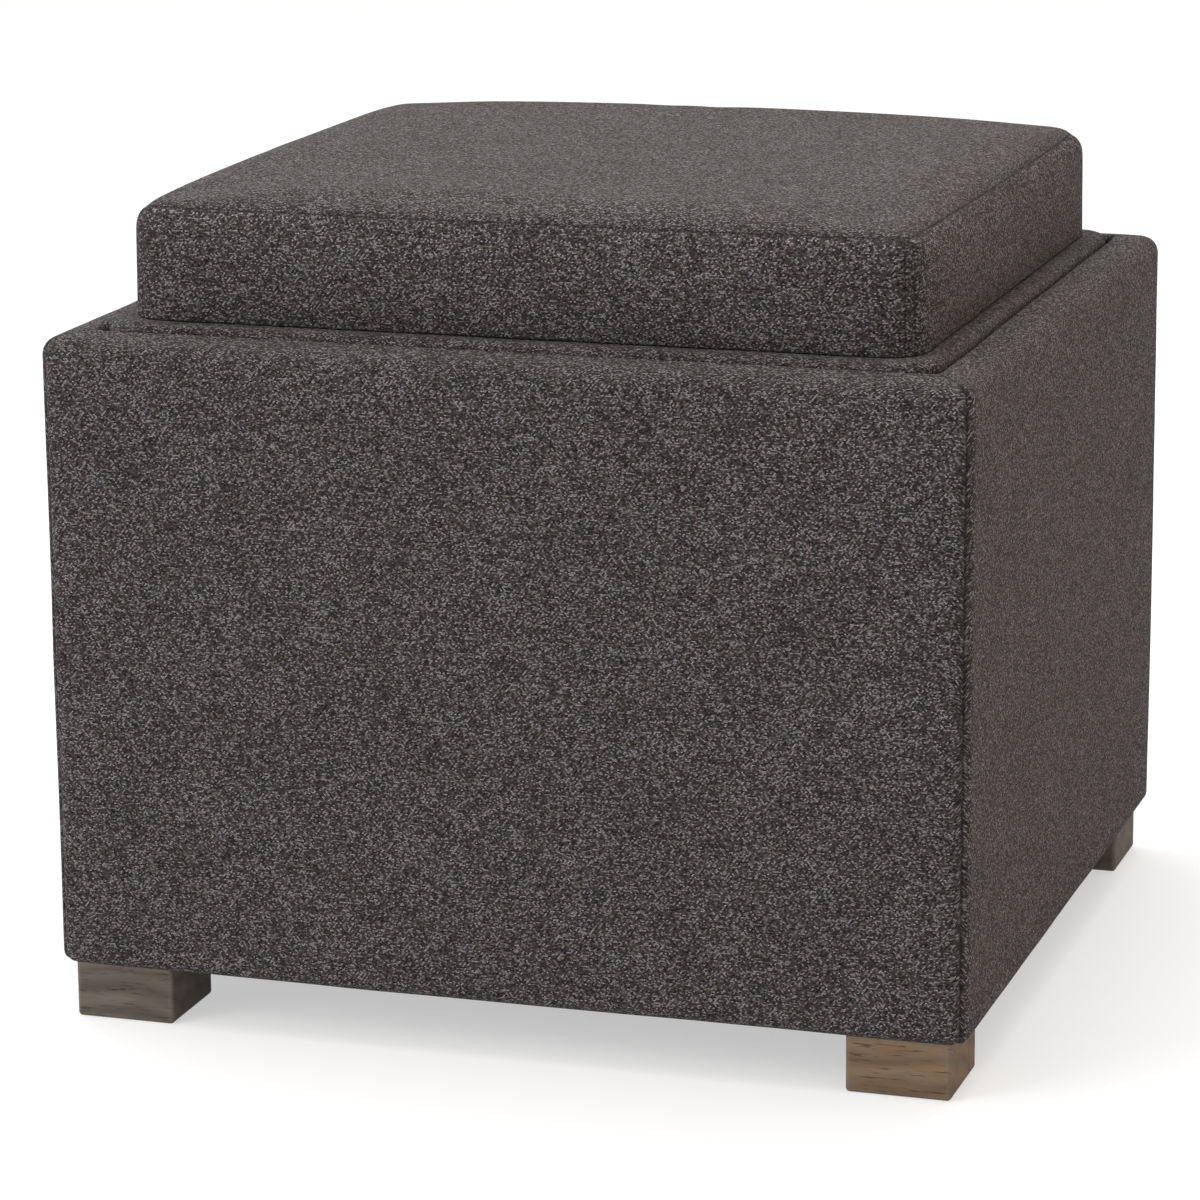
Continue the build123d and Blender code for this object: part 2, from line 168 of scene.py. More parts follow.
def round_edges(radius: float, segments: int) -> None:
    """Rounds the selected edges.

    Args:
        radius: The rounding's radius.
        segments: Faces across the rounding.
    """
    bpy.ops.mesh.bevel(
        offset=radius, segments=segments, profile=0.5, affect="EDGES", clamp_overlap=False
    )


def is_upright(a: Vector, b: Vector) -> bool:
    """Whether an edge between two points is upright."""
    return (a.xy - b.xy).length < HAIR and abs(a.z - b.z) > HAIR


def pick_level(piece: bpy.types.Object, height: float) -> None:
    """Selects the edges that lie at one height, in edit mode."""
    pick_edges(piece, lambda a, b: max(abs(a.z - height), abs(b.z - height)) < HAIR)


def block(name: str, low: Vector, high: Vector) -> bpy.types.Object:
    """A block primitive at its size and place, as a start for a piece.

    Args:
        name: The piece's name.
        low: Its lowest corner.
        high: Its highest corner.

    Returns:
        The block, its object at the origin.
    """
    bpy.ops.object.select_all(action="DESELECT")
    bpy.ops.mesh.primitive_cube_add(size=1, location=(low + high) / 2)
    piece = bpy.context.active_object
    piece.name = piece.data.name = name
    piece.scale = high - low
    bpy.ops.object.transform_apply(location=True, rotation=True, scale=True)
    return piece


def slice_up(piece: bpy.types.Object, axis: Vector, places: Sequence[float]) -> None:
    """Cuts edge loops across a whole piece, in edit mode.

    Args:
        piece: Not used; the cuts go through the piece that is in edit mode.
        axis: The cuts' normal.
        places: Where the cuts are along the axis.
    """
    for place in places:
        bpy.ops.mesh.select_all(action="SELECT")
        bpy.ops.mesh.bisect(plane_co=axis * place, plane_no=axis)


def slice_plan(piece: bpy.types.Object, high: Vector, margin: float, step: float) -> None:
    """Cuts a centred piece into a grid in plan, in edit mode.

    Args:
        piece: The piece in edit mode.
        high: Its highest corner.
        margin: What stays whole at each end.
        step: The grid's spacing.
    """
    for axis, end in ((X_AXIS, high.x), (Y_AXIS, high.y)):
        slice_up(piece, axis, spaced(margin - end, end - margin, step))


def weld() -> None:
    """Merges doubled vertices, in edit mode."""
    bpy.ops.mesh.select_all(action="SELECT")
    bpy.ops.mesh.remove_doubles(threshold=WELD)


def spaced(low: float, high: float, step: float) -> list[float]:
    """Even places between two ends, without the ends.

    Args:
        low: The lower end.
        high: The higher end.
        step: The spacing to come near to.

    Returns:
        The places.
    """
    count = max(1, round((high - low) / step))
    return [low + (high - low) * i / count for i in range(1, count)]


def apply_modifier(piece: bpy.types.Object, kind: str, **settings: object) -> None:
    """Adds a modifier and applies it.

    Args:
        piece: The piece to change.
        kind: The modifier's type.
        **settings: The modifier's settings.
    """
    only(piece)
    modifier = piece.modifiers.new(kind.title(), kind)
    for key, value in settings.items():
        setattr(modifier, key, value)
    bpy.ops.object.modifier_apply(modifier=modifier.name)


def ripple(piece: bpy.types.Object, name: str, size: float, strength: float) -> None:
    """Gives a piece a slow ripple.

    Args:
        piece: The piece to change.
        name: The ripple's name.
        size: How broad its waves are.
        strength: How high they are.
    """
    waves = bpy.data.textures.new(name, "CLOUDS")
    waves.noise_scale = size
    settings = {"strength": strength, "mid_level": 0.5, "texture_coords": "LOCAL"}
    apply_modifier(piece, "DISPLACE", texture=waves, **settings)


def copy_of(piece: bpy.types.Object, name: str) -> bpy.types.Object:
    """A copy with its own mesh.

    Args:
        piece: The piece to copy.
        name: The copy's name.

    Returns:
        The copy.
    """
    twin = piece.copy()
    twin.data = piece.data.copy()
    twin.name = twin.data.name = name
    bpy.context.scene.collection.objects.link(twin)
    return twin


def rows_of(items: bpy.types.bpy_prop_collection, field: str) -> np.ndarray:
    """Reads a field of three numbers from each of a mesh's items.

    Args:
        items: The mesh's vertices, normals or faces.
        field: The field's name.

    Returns:
        Three columns, one row for each item.
    """
    flat = np.empty(len(items) * 3)
    items.foreach_get(field, flat)
    return flat.reshape(-1, 3)


def points_of(piece: bpy.types.Object) -> np.ndarray:
    """A piece's vertices, one row each."""
    return rows_of(piece.data.vertices, "co")


def move_points(piece: bpy.types.Object, points: np.ndarray) -> None:
    """Puts a piece's vertices at new places.

    Args:
        piece: The piece to change.
        points: Three columns, one row for each vertex.
    """
    piece.data.vertices.foreach_set("co", points.ravel())
    piece.data.update()


def normals_of(piece: bpy.types.Object) -> np.ndarray:
    """A piece's vertex normals, one row each."""
    return rows_of(piece.data.vertex_normals, "vector")


def off_corners(points: np.ndarray, high: Vector) -> np.ndarray:
    """How far points are, in plan, from the upright planes that cut a centred box's corners in half.

    Args:
        points: Three columns.
        high: The box's highest corner.

    Returns:
        The distances.
    """
    return np.abs(np.abs(points[:, 0]) - np.abs(points[:, 1]) - (high.x - high.y)) * ROOT_HALF


def cloth_map(piece: bpy.types.Object, across: np.ndarray, up: np.ndarray) -> None:
    """Lays the weave over a piece as a UV map in metres.

    Args:
        piece: The piece.
        across: Each corner's place across the cloth.
        up: Each corner's place up the cloth.
    """
    layer = piece.data.uv_layers.new(name="weave")
    layer.data.foreach_set("uv", np.stack([across, up], 1).ravel())


def corners_of(piece: bpy.types.Object) -> tuple[np.ndarray, np.ndarray, np.ndarray]:
    """Each face corner's point, and its face's normal and centre.

    Args:
        piece: The piece.

    Returns:
        Points, normals and centres, one row for each face corner.
    """
    mesh = piece.data
    index = np.empty(len(mesh.loops), np.int64)
    mesh.loops.foreach_get("vertex_index", index)
    totals = np.empty(len(mesh.polygons), np.int64)
    mesh.polygons.foreach_get("loop_total", totals)
    normals, centres = (np.repeat(rows_of(mesh.polygons, field), totals, 0) for field in ("normal", "center"))
    return points_of(piece)[index], normals, centres


def smooth(piece: bpy.types.Object, degrees: float = 42.0) -> None:
    """Shades a piece smooth, apart from its sharper edges.

    Args:
        piece: The piece.
        degrees: The least angle of an edge that stays sharp.
    """
    only(piece)
    bpy.ops.object.shade_smooth_by_angle(angle=math.radians(degrees))


# ---- Node graphs ---------------------------------------------------------------------------------


@dataclass
class Graph:
    """A node tree with short ways to add to it."""

    tree: bpy.types.NodeTree

    def add(self, kind: str, *values: Value, **settings: object) -> bpy.types.Node:
        """A new node.

        Args:
            kind: The node's type.
            *values: What its first inputs get.
            **settings: Its settings.

        Returns:
            The node.
        """
        node = self.tree.nodes.new(kind)
        for key, value in settings.items():
            setattr(node, key, value)
        for socket, value in zip(node.inputs, values):
            self.feed(socket, value)
        return node

    def feed(self, socket: bpy.types.NodeSocket, value: Value) -> None:
        """Links a socket to a socket's value, or sets its own.

        Args:
            socket: The input.
            value: A socket, number, vector or colour.
        """
        if isinstance(value, bpy.types.NodeSocket):
            self.tree.links.new(value, socket)
        else:
            socket.default_value = value

    def math(self, operation: str, *values: Value, clamp: bool = False) -> bpy.types.NodeSocket:
        """A math node's value, kept from 0 to 1 where clamp is set."""
        return self.add("ShaderNodeMath", *values, operation=operation, use_clamp=clamp).outputs[0]

    def chain(self, operation: str, first: Value, *others: Value) -> bpy.types.NodeSocket:
        """One math operation done again and again, from left to right.

        Args:
            operation: The operation.
            first: The first value.
            *others: The values that follow.

        Returns:
            The result's socket.
        """
        for other in others:
            first = self.math(operation, first, other)
        return first

    def plus(self, *values: Value) -> bpy.types.NodeSocket:
        """The values' sum."""
        return self.chain("ADD", *values)

    def times(self, *values: Value) -> bpy.types.NodeSocket:
        """The values' product."""
        return self.chain("MULTIPLY", *values)

    def minus(self, *values: Value) -> bpy.types.NodeSocket:
        """The first value less the others."""
        return self.chain("SUBTRACT", *values)

    def vector(self, operation: str, *values: Value) -> bpy.types.NodeSocket:
        """A vector math node's vector."""
        return self.add("ShaderNodeVectorMath", *values, operation=operation).outputs[0]

    def split(self, vector: Value) -> tuple[bpy.types.NodeSocket, ...]:
        """A vector's X, Y and Z."""
        return tuple(self.add("ShaderNodeSeparateXYZ", vector).outputs)

    def join(self, x: Value, y: Value, z: Value = 0.0) -> bpy.types.NodeSocket:
        """A vector from X, Y and Z."""
        return self.add("ShaderNodeCombineXYZ", x, y, z).outputs[0]

    def ridge(self, place: Value, power: float) -> bpy.types.NodeSocket:
        """A ridge over each whole step of a place, narrower the higher the power."""
        wave = self.math("SINE", self.times(self.math("FRACT", place), math.pi))
        return self.math("POWER", wave, power)

    def noise(self, vector: Value, scale: Value = 1.0, detail: float = 2.0) -> bpy.types.NodeSocket:
        """Soft noise from 0 to 1.

        Args:
            vector: Where to read it.
            scale: Its scale.
            detail: Its octaves.

        Returns:
            The noise's socket.
        """
        node = self.add("ShaderNodeTexNoise")
        self.feed(node.inputs["Vector"], vector)
        self.feed(node.inputs["Scale"], scale)
        node.inputs["Detail"].default_value = detail
        return node.outputs[0]

    def chance(self, vector: Value) -> bpy.types.NodeSocket:
        """A random value from 0 to 1 for each vector."""
        return self.add("ShaderNodeTexWhiteNoise", vector, noise_dimensions="3D").outputs["Value"]

    def mix(self, share: Value, a: Value, b: Value) -> bpy.types.NodeSocket:
        """A colour between two.

        Args:
            share: How much of the second.
            a: The first colour.
            b: The second colour.

        Returns:
            The mixed colour's socket.
        """
        node = self.add("ShaderNodeMix", data_type="RGBA")
        for socket, value in zip((node.inputs[0], node.inputs[6], node.inputs[7]), (share, a, b)):
            self.feed(socket, value)
        return node.outputs[2]

    def between(self, value: Value, low: float, high: float) -> bpy.types.NodeSocket:
        """0 below the low value and 1 above the high one, smooth between them."""
        return self.add("ShaderNodeMapRange", value, low, high, interpolation_type="SMOOTHSTEP").outputs[0]


def set_inputs(node: bpy.types.Node, values: dict[str, object]) -> None:
    """Sets a node's own sockets, for what is the same all over a surface."""
    for label, value in values.items():
        node.inputs[label].default_value = value


def new_group(
    name: str, inputs: dict[str, str], outputs: dict[str, str]
) -> tuple[Graph, dict[str, bpy.types.NodeSocket], dict[str, bpy.types.NodeSocket]]:
    """An empty shader node group.

    Args:
        name: The group's name.
        inputs: Each input's name and socket type.
        outputs: Each output's name and socket type.

    Returns:
        The group's graph, what it is given, and where its results go.
    """
    tree = bpy.data.node_groups.new(name, "ShaderNodeTree")
    for way, sockets in (("INPUT", inputs), ("OUTPUT", outputs)):
        for label, kind in sockets.items():
            tree.interface.new_socket(label, in_out=way, socket_type=kind)
    graph = Graph(tree)
    given, out = graph.add("NodeGroupInput"), graph.add("NodeGroupOutput")
    return graph, {k: given.outputs[k] for k in inputs}, {k: out.inputs[k] for k in outputs}


FLOAT = "NodeSocketFloat"
VECTOR = "NodeSocketVector"
COLOUR = "NodeSocketColor"


@dataclass
class Effects:
    """The shader effects that more than one material uses, each built once."""

    weave: Optional[bpy.types.NodeTree] = None
    seam: Optional[bpy.types.NodeTree] = None
    grain: Optional[bpy.types.NodeTree] = None
    wear: Optional[bpy.types.NodeTree] = None
    fibre: Optional[bpy.types.NodeTree] = None

    def build(self) -> None:
        """Builds every effect."""
        self.weave = self.build_weave()
        self.seam = self.build_seam()
        self.grain = self.build_grain()
        self.wear = self.build_wear()
        self.fibre = self.build_fibre()

    def build_weave(self) -> bpy.types.NodeTree:
        """A heathered weave: short floats of uneven yarn, each its own shade, with streaks and slubs. The
        gaps between the yarns carry painted shade, and the fine fibre streaks are partly fibre tone and
        partly painted sheen.

        Returns:
            The group.
        """
        tones = dict.fromkeys(("Dark", "Middle", "Light", "Brown"), COLOUR)
        g, given, out = new_group(
            "heathered_weave",
            {"Cloth": VECTOR, "Yarns per metre": FLOAT, **tones},
            {"Colour": COLOUR, "Height": FLOAT, "Roughness": FLOAT},
        )
        bend, floats_per_yarn, brick = 1.6, 0.68, 0.5
        cloth, rate = given["Cloth"], given["Yarns per metre"]
        wander = g.noise(cloth, 140.0)
        wobble = g.noise(g.vector("ADD", cloth, (3.1, 7.7, 0)), 170.0)
        x, y, _ = g.split(cloth)
        weft_place = g.plus(g.times(y, rate), g.times(wobble, bend))
        line = g.math("FLOOR", weft_place)
        shift = g.plus(g.times(line, brick), g.times(wander, bend))
        warp_place = g.plus(g.times(x, rate, floats_per_yarn), shift)
        column = g.math("FLOOR", warp_place)
        height = g.times(g.ridge(warp_place, 0.45), g.ridge(weft_place, 0.7))
        stitch = g.chance(g.join(column, line, 1.0))
        weft = g.noise(g.join(g.times(x, 45.0), g.times(line, 1.7), 2.0), detail=1.0)
        warp = g.noise(g.join(g.times(column, 1.7), g.times(y, 40.0), 5.0), detail=1.0)
        # Fine diagonal fibre streaks: partly the twisted yarns' own fibre tone, partly painted sheen.
        fibre = g.noise(g.join(g.plus(g.times(x, 2000.0), g.times(y, 1700.0)), g.times(y, 1200.0)))
        cloud = g.noise(cloth, 30.0, 3.0)
        over = g.times(g.math("FRACT", g.times(g.plus(column, line), 0.5)), 2.0)
        shares = ((stitch, 0.46), (over, 0.06), (weft, 0.14), (warp, 0.12), (cloud, 0.06), (fibre, 0.32))
        shade = g.plus(*(g.times(part, share) for part, share in shares))
        brown = g.between(g.chance(g.join(column, line, 7.0)), 0.62, 0.8)
        pale = g.mix(brown, given["Light"], given["Brown"])
        tone = g.mix(g.between(shade, 0.29, 0.57), given["Dark"], given["Middle"])
        tone = g.mix(g.between(shade, 0.57, 0.88), tone, pale)
        # Painted shade: the colour darkens towards the dark tone in the gaps between the yarns, where the
        # height is low.
        painted_gap_shade = g.times(g.minus(1.0, height), 0.85)
        g.feed(out["Colour"], g.mix(painted_gap_shade, tone, given["Dark"]))
        g.feed(out["Height"], g.plus(height, g.times(fibre, 0.3)))
        g.feed(out["Roughness"], g.plus(0.8, g.times(cloud, 0.2)))
        return g.tree

    def build_seam(self) -> bpy.types.NodeTree:
        """A sewn seam: a pulled-in line with small stitch pulls beside it. The Mask is painted shade in the
        line and the pulls; the Depth bumps them in.

        Returns:
            The group.
        """
        g, given, out = new_group(
            "sewn_seam_and_painted_shade", {"Distance": FLOAT, "Along": FLOAT, "Width": FLOAT}, {"Mask": FLOAT, "Depth": FLOAT}
        )
        pulls_per_metre, pull_share = 240.0, 0.45
        ratio = g.math("DIVIDE", given["Distance"], given["Width"])
        line = g.minus(1.0, g.between(ratio, 0.25, 1.3))
        pulls = g.noise(g.join(g.times(given["Along"], pulls_per_metre), 0.0), detail=1.0)
        halo = g.minus(1.0, g.between(ratio, 0.6, 4.0))
        soft = g.times(halo, g.times(pulls, pull_share))
        # Painted shade: the mask darkens the seam line and the stitch pulls beside it.
        g.feed(out["Mask"], g.math("MAXIMUM", line, soft))
        g.feed(out["Depth"], g.times(g.plus(line, soft), -1.0))
        return g.tree

    def build_grain(self) -> bpy.types.NodeTree:
        """Straight wood grain along the vector's X, with growth rings, fibres and open pores.

        Returns:
            The group.
        """
        g, given, out = new_group(
            "wood_grain",
            {
                "Place": VECTOR, "Rings per metre": FLOAT, "Light": COLOUR, "Dark": COLOUR, "Pore": COLOUR,
                "Weathering": FLOAT,
            },
            {"Colour": COLOUR, "Height": FLOAT, "Roughness": FLOAT},
        )
        bleached, slant, drift_rings = (0.2, 0.18, 0.155, 1), 0.45, 7.0
        place = given["Place"]
        _, y, z = g.split(place)
        drift, fibres, pores, patches = (
            g.noise(g.vector("MULTIPLY", place, (along, across, across)), detail=detail)
            for along, across, detail in (
                (9.0, 26.0, 2.0), (45.0, 900.0, 3.0), (110.0, 1500.0, 1.0), (40.0, 120.0, 3.0)
            )
        )
        depth = g.plus(g.times(y, slant), z)
        rings = g.plus(g.times(depth, given["Rings per metre"]), g.times(drift, drift_rings))
        band = g.math("PINGPONG", rings, 1.0)
        pores = g.between(pores, 0.62, 0.72)
        tone = g.mix(g.plus(g.times(band, 0.55), g.times(fibres, 0.45)), given["Light"], given["Dark"])
        tone = g.mix(g.times(pores, 0.75), tone, given["Pore"])
        bleach = g.times(g.between(patches, 0.45, 0.75), given["Weathering"])
        g.feed(out["Colour"], g.mix(bleach, tone, bleached))
        g.feed(out["Height"], g.minus(g.times(fibres, 0.5), pores))
        g.feed(out["Roughness"], g.plus(0.5, g.times(fibres, 0.2)))
        return g.tree

    def build_wear(self) -> bpy.types.NodeTree:
        """Rubbed edges of a box, from how near a point is to two of its faces.

        Returns:
            The group.
        """
        g, given, out = new_group(
            "edge_wear", {"Place": VECTOR, "Centre": VECTOR, "Half": VECTOR, "Width": FLOAT}, {"Mask": FLOAT}
        )
        offset = g.vector("SUBTRACT", given["Place"], given["Centre"])
        gaps = g.split(g.vector("SUBTRACT", given["Half"], g.vector("ABSOLUTE", offset)))
        pairs = [g.plus(gaps[i], gaps[j]) for i, j in ((0, 1), (1, 2), (0, 2))]
        rough = g.noise(given["Place"], 420.0, 3.0)
        reach = g.times(given["Width"], g.plus(0.3, rough))
        nearest = g.chain("MINIMUM", *pairs)
        g.feed(out["Mask"], g.math("SUBTRACT", 1.0, g.math("DIVIDE", nearest, reach), clamp=True))
        return g.tree

    def build_fibre(self) -> bpy.types.NodeTree:
        """Loose random fibres, as in felt, wadding, fibreboard or foam skin.

        Returns:
            The group.
        """
        g, given, out = new_group(
            "loose_fibre", {"Place": VECTOR, "Fineness": FLOAT, "Base": COLOUR, "Fleck": COLOUR},
            {"Colour": COLOUR, "Height": FLOAT},
        )
        fine = g.noise(given["Place"], given["Fineness"], 4.0)
        broad = g.noise(given["Place"], 60.0, 3.0)
        amount = g.between(g.plus(g.times(fine, 0.7), g.times(broad, 0.3)), 0.35, 0.68)
        g.feed(out["Colour"], g.mix(amount, given["Base"], given["Fleck"]))
        g.feed(out["Height"], fine)
        return g.tree


EFFECTS = Effects()


def new_material(name: str) -> tuple[bpy.types.Material, Graph, bpy.types.Node]:
    """An empty material.

    Args:
        name: The material's name.

    Returns:
        The material, its graph and its Principled BSDF.
    """
    material = bpy.data.materials.new(name)
    material.use_nodes = True
    material.node_tree.nodes.clear()
    graph = Graph(material.node_tree)
    shader = graph.add("ShaderNodeBsdfPrincipled")
    output = graph.add("ShaderNodeOutputMaterial")
    graph.feed(output.inputs["Surface"], shader.outputs["BSDF"])
    return material, graph, shader


def place_group(graph: Graph, tree: bpy.types.NodeTree, **values: Value) -> bpy.types.Node:
    """Puts a node group in a graph.

    Args:
        graph: The material's graph.
        tree: The group.
        **values: The group's inputs, with underscores for spaces.

    Returns:
        The group's node.
    """
    node = graph.add("ShaderNodeGroup", node_tree=tree)
    for key, value in values.items():
        graph.feed(node.inputs[key.replace("_", " ")], value)
    return node


def bump(graph: Graph, shader: bpy.types.Node, height: Value, strength: float, distance: float) -> None:
    """Gives a shader a bump.

    Args:
        graph: The material's graph.
        shader: The Principled BSDF.
        height: The height's socket.
        strength: The bump's strength.
        distance: How high the bump is.
    """
    node = graph.add("ShaderNodeBump")
    set_inputs(node, {"Strength": strength, "Distance": distance})
    graph.feed(node.inputs["Height"], height)
    graph.feed(shader.inputs["Normal"], node.outputs[0])


# ---- Finishes ------------------------------------------------------------------------------------


class SeamKind(Enum):
    """Which seams an upholstery cloth has."""

    NONE = "none"
    BOX_CORNERS = "box corners"
    CUSHION = "cushion"


@dataclass(frozen=True)
class HeatheredCloth:
    """Charcoal upholstery cloth with pale and brown flecks, and painted shade along its seams where it has
    them.
    """

    name: str
    dark: Colour = (0.009, 0.008, 0.008, 1)
    middle: Colour = (0.068, 0.058, 0.057, 1)
    light: Colour = (0.38, 0.36, 0.385, 1)
    brown: Colour = (0.25, 0.2, 0.175, 1)
    yarns_per_metre: float = 1500.0
    sheen: float = 0.05
    seams: SeamKind = SeamKind.NONE
    half_difference: float = 0.0
    seam_height: float = 0.0
    seam_width: float = 0.9 * MM
    seam_spread: float = 0.0
    painted_seam_shade_share: float = 0.7
    painted_seam_shade: Colour = (0.008, 0.007, 0.007, 1)

    def make(self) -> bpy.types.Material:
        """Builds the material.

        Returns:
            The material.
        """
        material, g, shader = new_material(self.name)
        cloth = g.add("ShaderNodeUVMap", uv_map="weave").outputs[0]
        weave = place_group(
            g, EFFECTS.weave, Cloth=cloth, Yarns_per_metre=self.yarns_per_metre,
            Dark=self.dark, Middle=self.middle, Light=self.light, Brown=self.brown,
        )
        tone, height = weave.outputs["Colour"], weave.outputs["Height"]
        if self.seams is not SeamKind.NONE:
            distance, along = self.seam_distance(g)
            seam = place_group(g, EFFECTS.seam, Distance=distance, Along=along, Width=self.seam_width)
            # Painted shade along the seams: the cloth is darkened in the seam line and its stitch pulls.
            tone = g.mix(g.times(seam.outputs["Mask"], self.painted_seam_shade_share), tone, self.painted_seam_shade)
            height = g.plus(height, g.times(seam.outputs["Depth"], 2.0))
        g.feed(shader.inputs["Base Color"], tone)
        g.feed(shader.inputs["Roughness"], weave.outputs["Roughness"])
        set_inputs(shader, {
            "Specular IOR Level": 0.08, "Sheen Weight": self.sheen, "Sheen Roughness": 0.45,
            "Sheen Tint": (0.95, 0.88, 0.84, 1),
        })
        bump(g, shader, height, 0.55, 0.35 * MM)
        return material

    def seam_distance(self, g: Graph) -> tuple[bpy.types.NodeSocket, bpy.types.NodeSocket]:
        """How far a point is from the nearest seam, and its place along it.

        Args:
            g: The material's graph.

        Returns:
            The distance and the place along the seam.
        """
        x, y, z = g.split(g.add("ShaderNodeTexCoord").outputs["Object"])
        gap = g.minus(g.math("ABSOLUTE", x), g.math("ABSOLUTE", y), self.half_difference)
        corner = g.times(g.math("ABSOLUTE", gap), ROOT_HALF)
        corner = g.math("ABSOLUTE", g.minus(corner, self.seam_spread))
        if self.seams is SeamKind.BOX_CORNERS:
            return corner, z
        above = g.between(z, self.seam_height - HAIR, self.seam_height + HAIR)
        level = g.math("ABSOLUTE", g.minus(z, self.seam_height))
        return g.math("MINIMUM", g.plus(corner, above), level), g.plus(x, y, z)


@dataclass(frozen=True)
class StainedWood:
    """Wood with a stain, its grain along X or Y."""

    name: str
    light: Colour
    dark: Colour
    pore: Colour
    rings_per_metre: float = 130.0
    weathering: float = 0.3
    along_y: bool = False
    offset: tuple[float, float, float] = (0, 0, 0)
    worn: Optional[tuple[Vector, Vector]] = None
    worn_width: float = 3.4 * MM
    worn_share: float = 0.6
    worn_colour: Colour = (0.2, 0.168, 0.13, 1)
    gloss: float = 0.3

    def make(self) -> bpy.types.Material:
        """Builds the material.

        Returns:
            The material.
        """
        material, g, shader = new_material(self.name)
        place = g.add("ShaderNodeTexCoord").outputs["Object"]
        turn = g.add("ShaderNodeMapping", place)
        set_inputs(turn, {"Rotation": (0, 0, math.pi / 2 if self.along_y else 0), "Location": self.offset})
        grain = place_group(
            g, EFFECTS.grain, Place=turn.outputs[0], Rings_per_metre=self.rings_per_metre,
            Light=self.light, Dark=self.dark, Pore=self.pore, Weathering=self.weathering,
        )
        tone = grain.outputs["Colour"]
        if self.worn is not None:
            centre, half = self.worn
            wear = place_group(g, EFFECTS.wear, Place=place, Centre=centre, Half=half, Width=self.worn_width)
            tone = g.mix(g.times(wear.outputs["Mask"], self.worn_share), tone, self.worn_colour)
        g.feed(shader.inputs["Base Color"], tone)
        g.feed(shader.inputs["Roughness"], grain.outputs["Roughness"])
        set_inputs(shader, {"Specular IOR Level": self.gloss})
        bump(g, shader, grain.outputs["Height"], 0.5, 0.25 * MM)
        return material


@dataclass(frozen=True)
class FibreStock:
    """Felt, wadding, fibreboard or foam."""

    name: str
    base: Colour
    fleck: Colour
    fineness: float
    roughness: float
    relief: float

    def make(self) -> bpy.types.Material:
        """Builds the material.

        Returns:
            The material.
        """
        material, g, shader = new_material(self.name)
        place = g.add("ShaderNodeTexCoord").outputs["Object"]
        fibre = place_group(
            g, EFFECTS.fibre, Place=place, Fineness=self.fineness, Base=self.base, Fleck=self.fleck
        )
        g.feed(shader.inputs["Base Color"], fibre.outputs["Colour"])
        set_inputs(shader, {"Roughness": self.roughness, "Specular IOR Level": 0.2})
        bump(g, shader, fibre.outputs["Height"], self.relief, 0.3 * MM)
        return material


@dataclass(frozen=True)
class PlatedSteel:
    """Zinc-plated steel with a faint spangle."""

    name: str
    tone: Colour = (0.56, 0.56, 0.58, 1)
    dull: Colour = (0.4, 0.4, 0.43, 1)

    def make(self) -> bpy.types.Material:
        """Builds the material.

        Returns:
            The material.
        """
        material, g, shader = new_material(self.name)
        spangle = g.noise(g.add("ShaderNodeTexCoord").outputs["Object"], 700.0)
        g.feed(shader.inputs["Base Color"], g.mix(spangle, self.tone, self.dull))
        g.feed(shader.inputs["Roughness"], g.plus(0.3, g.times(spangle, 0.2)))
        set_inputs(shader, {"Metallic": 1.0})
        bump(g, shader, spangle, 0.1, 0.1 * MM)
        return material


# ---- The box's upholstery ------------------------------------------------------------------------


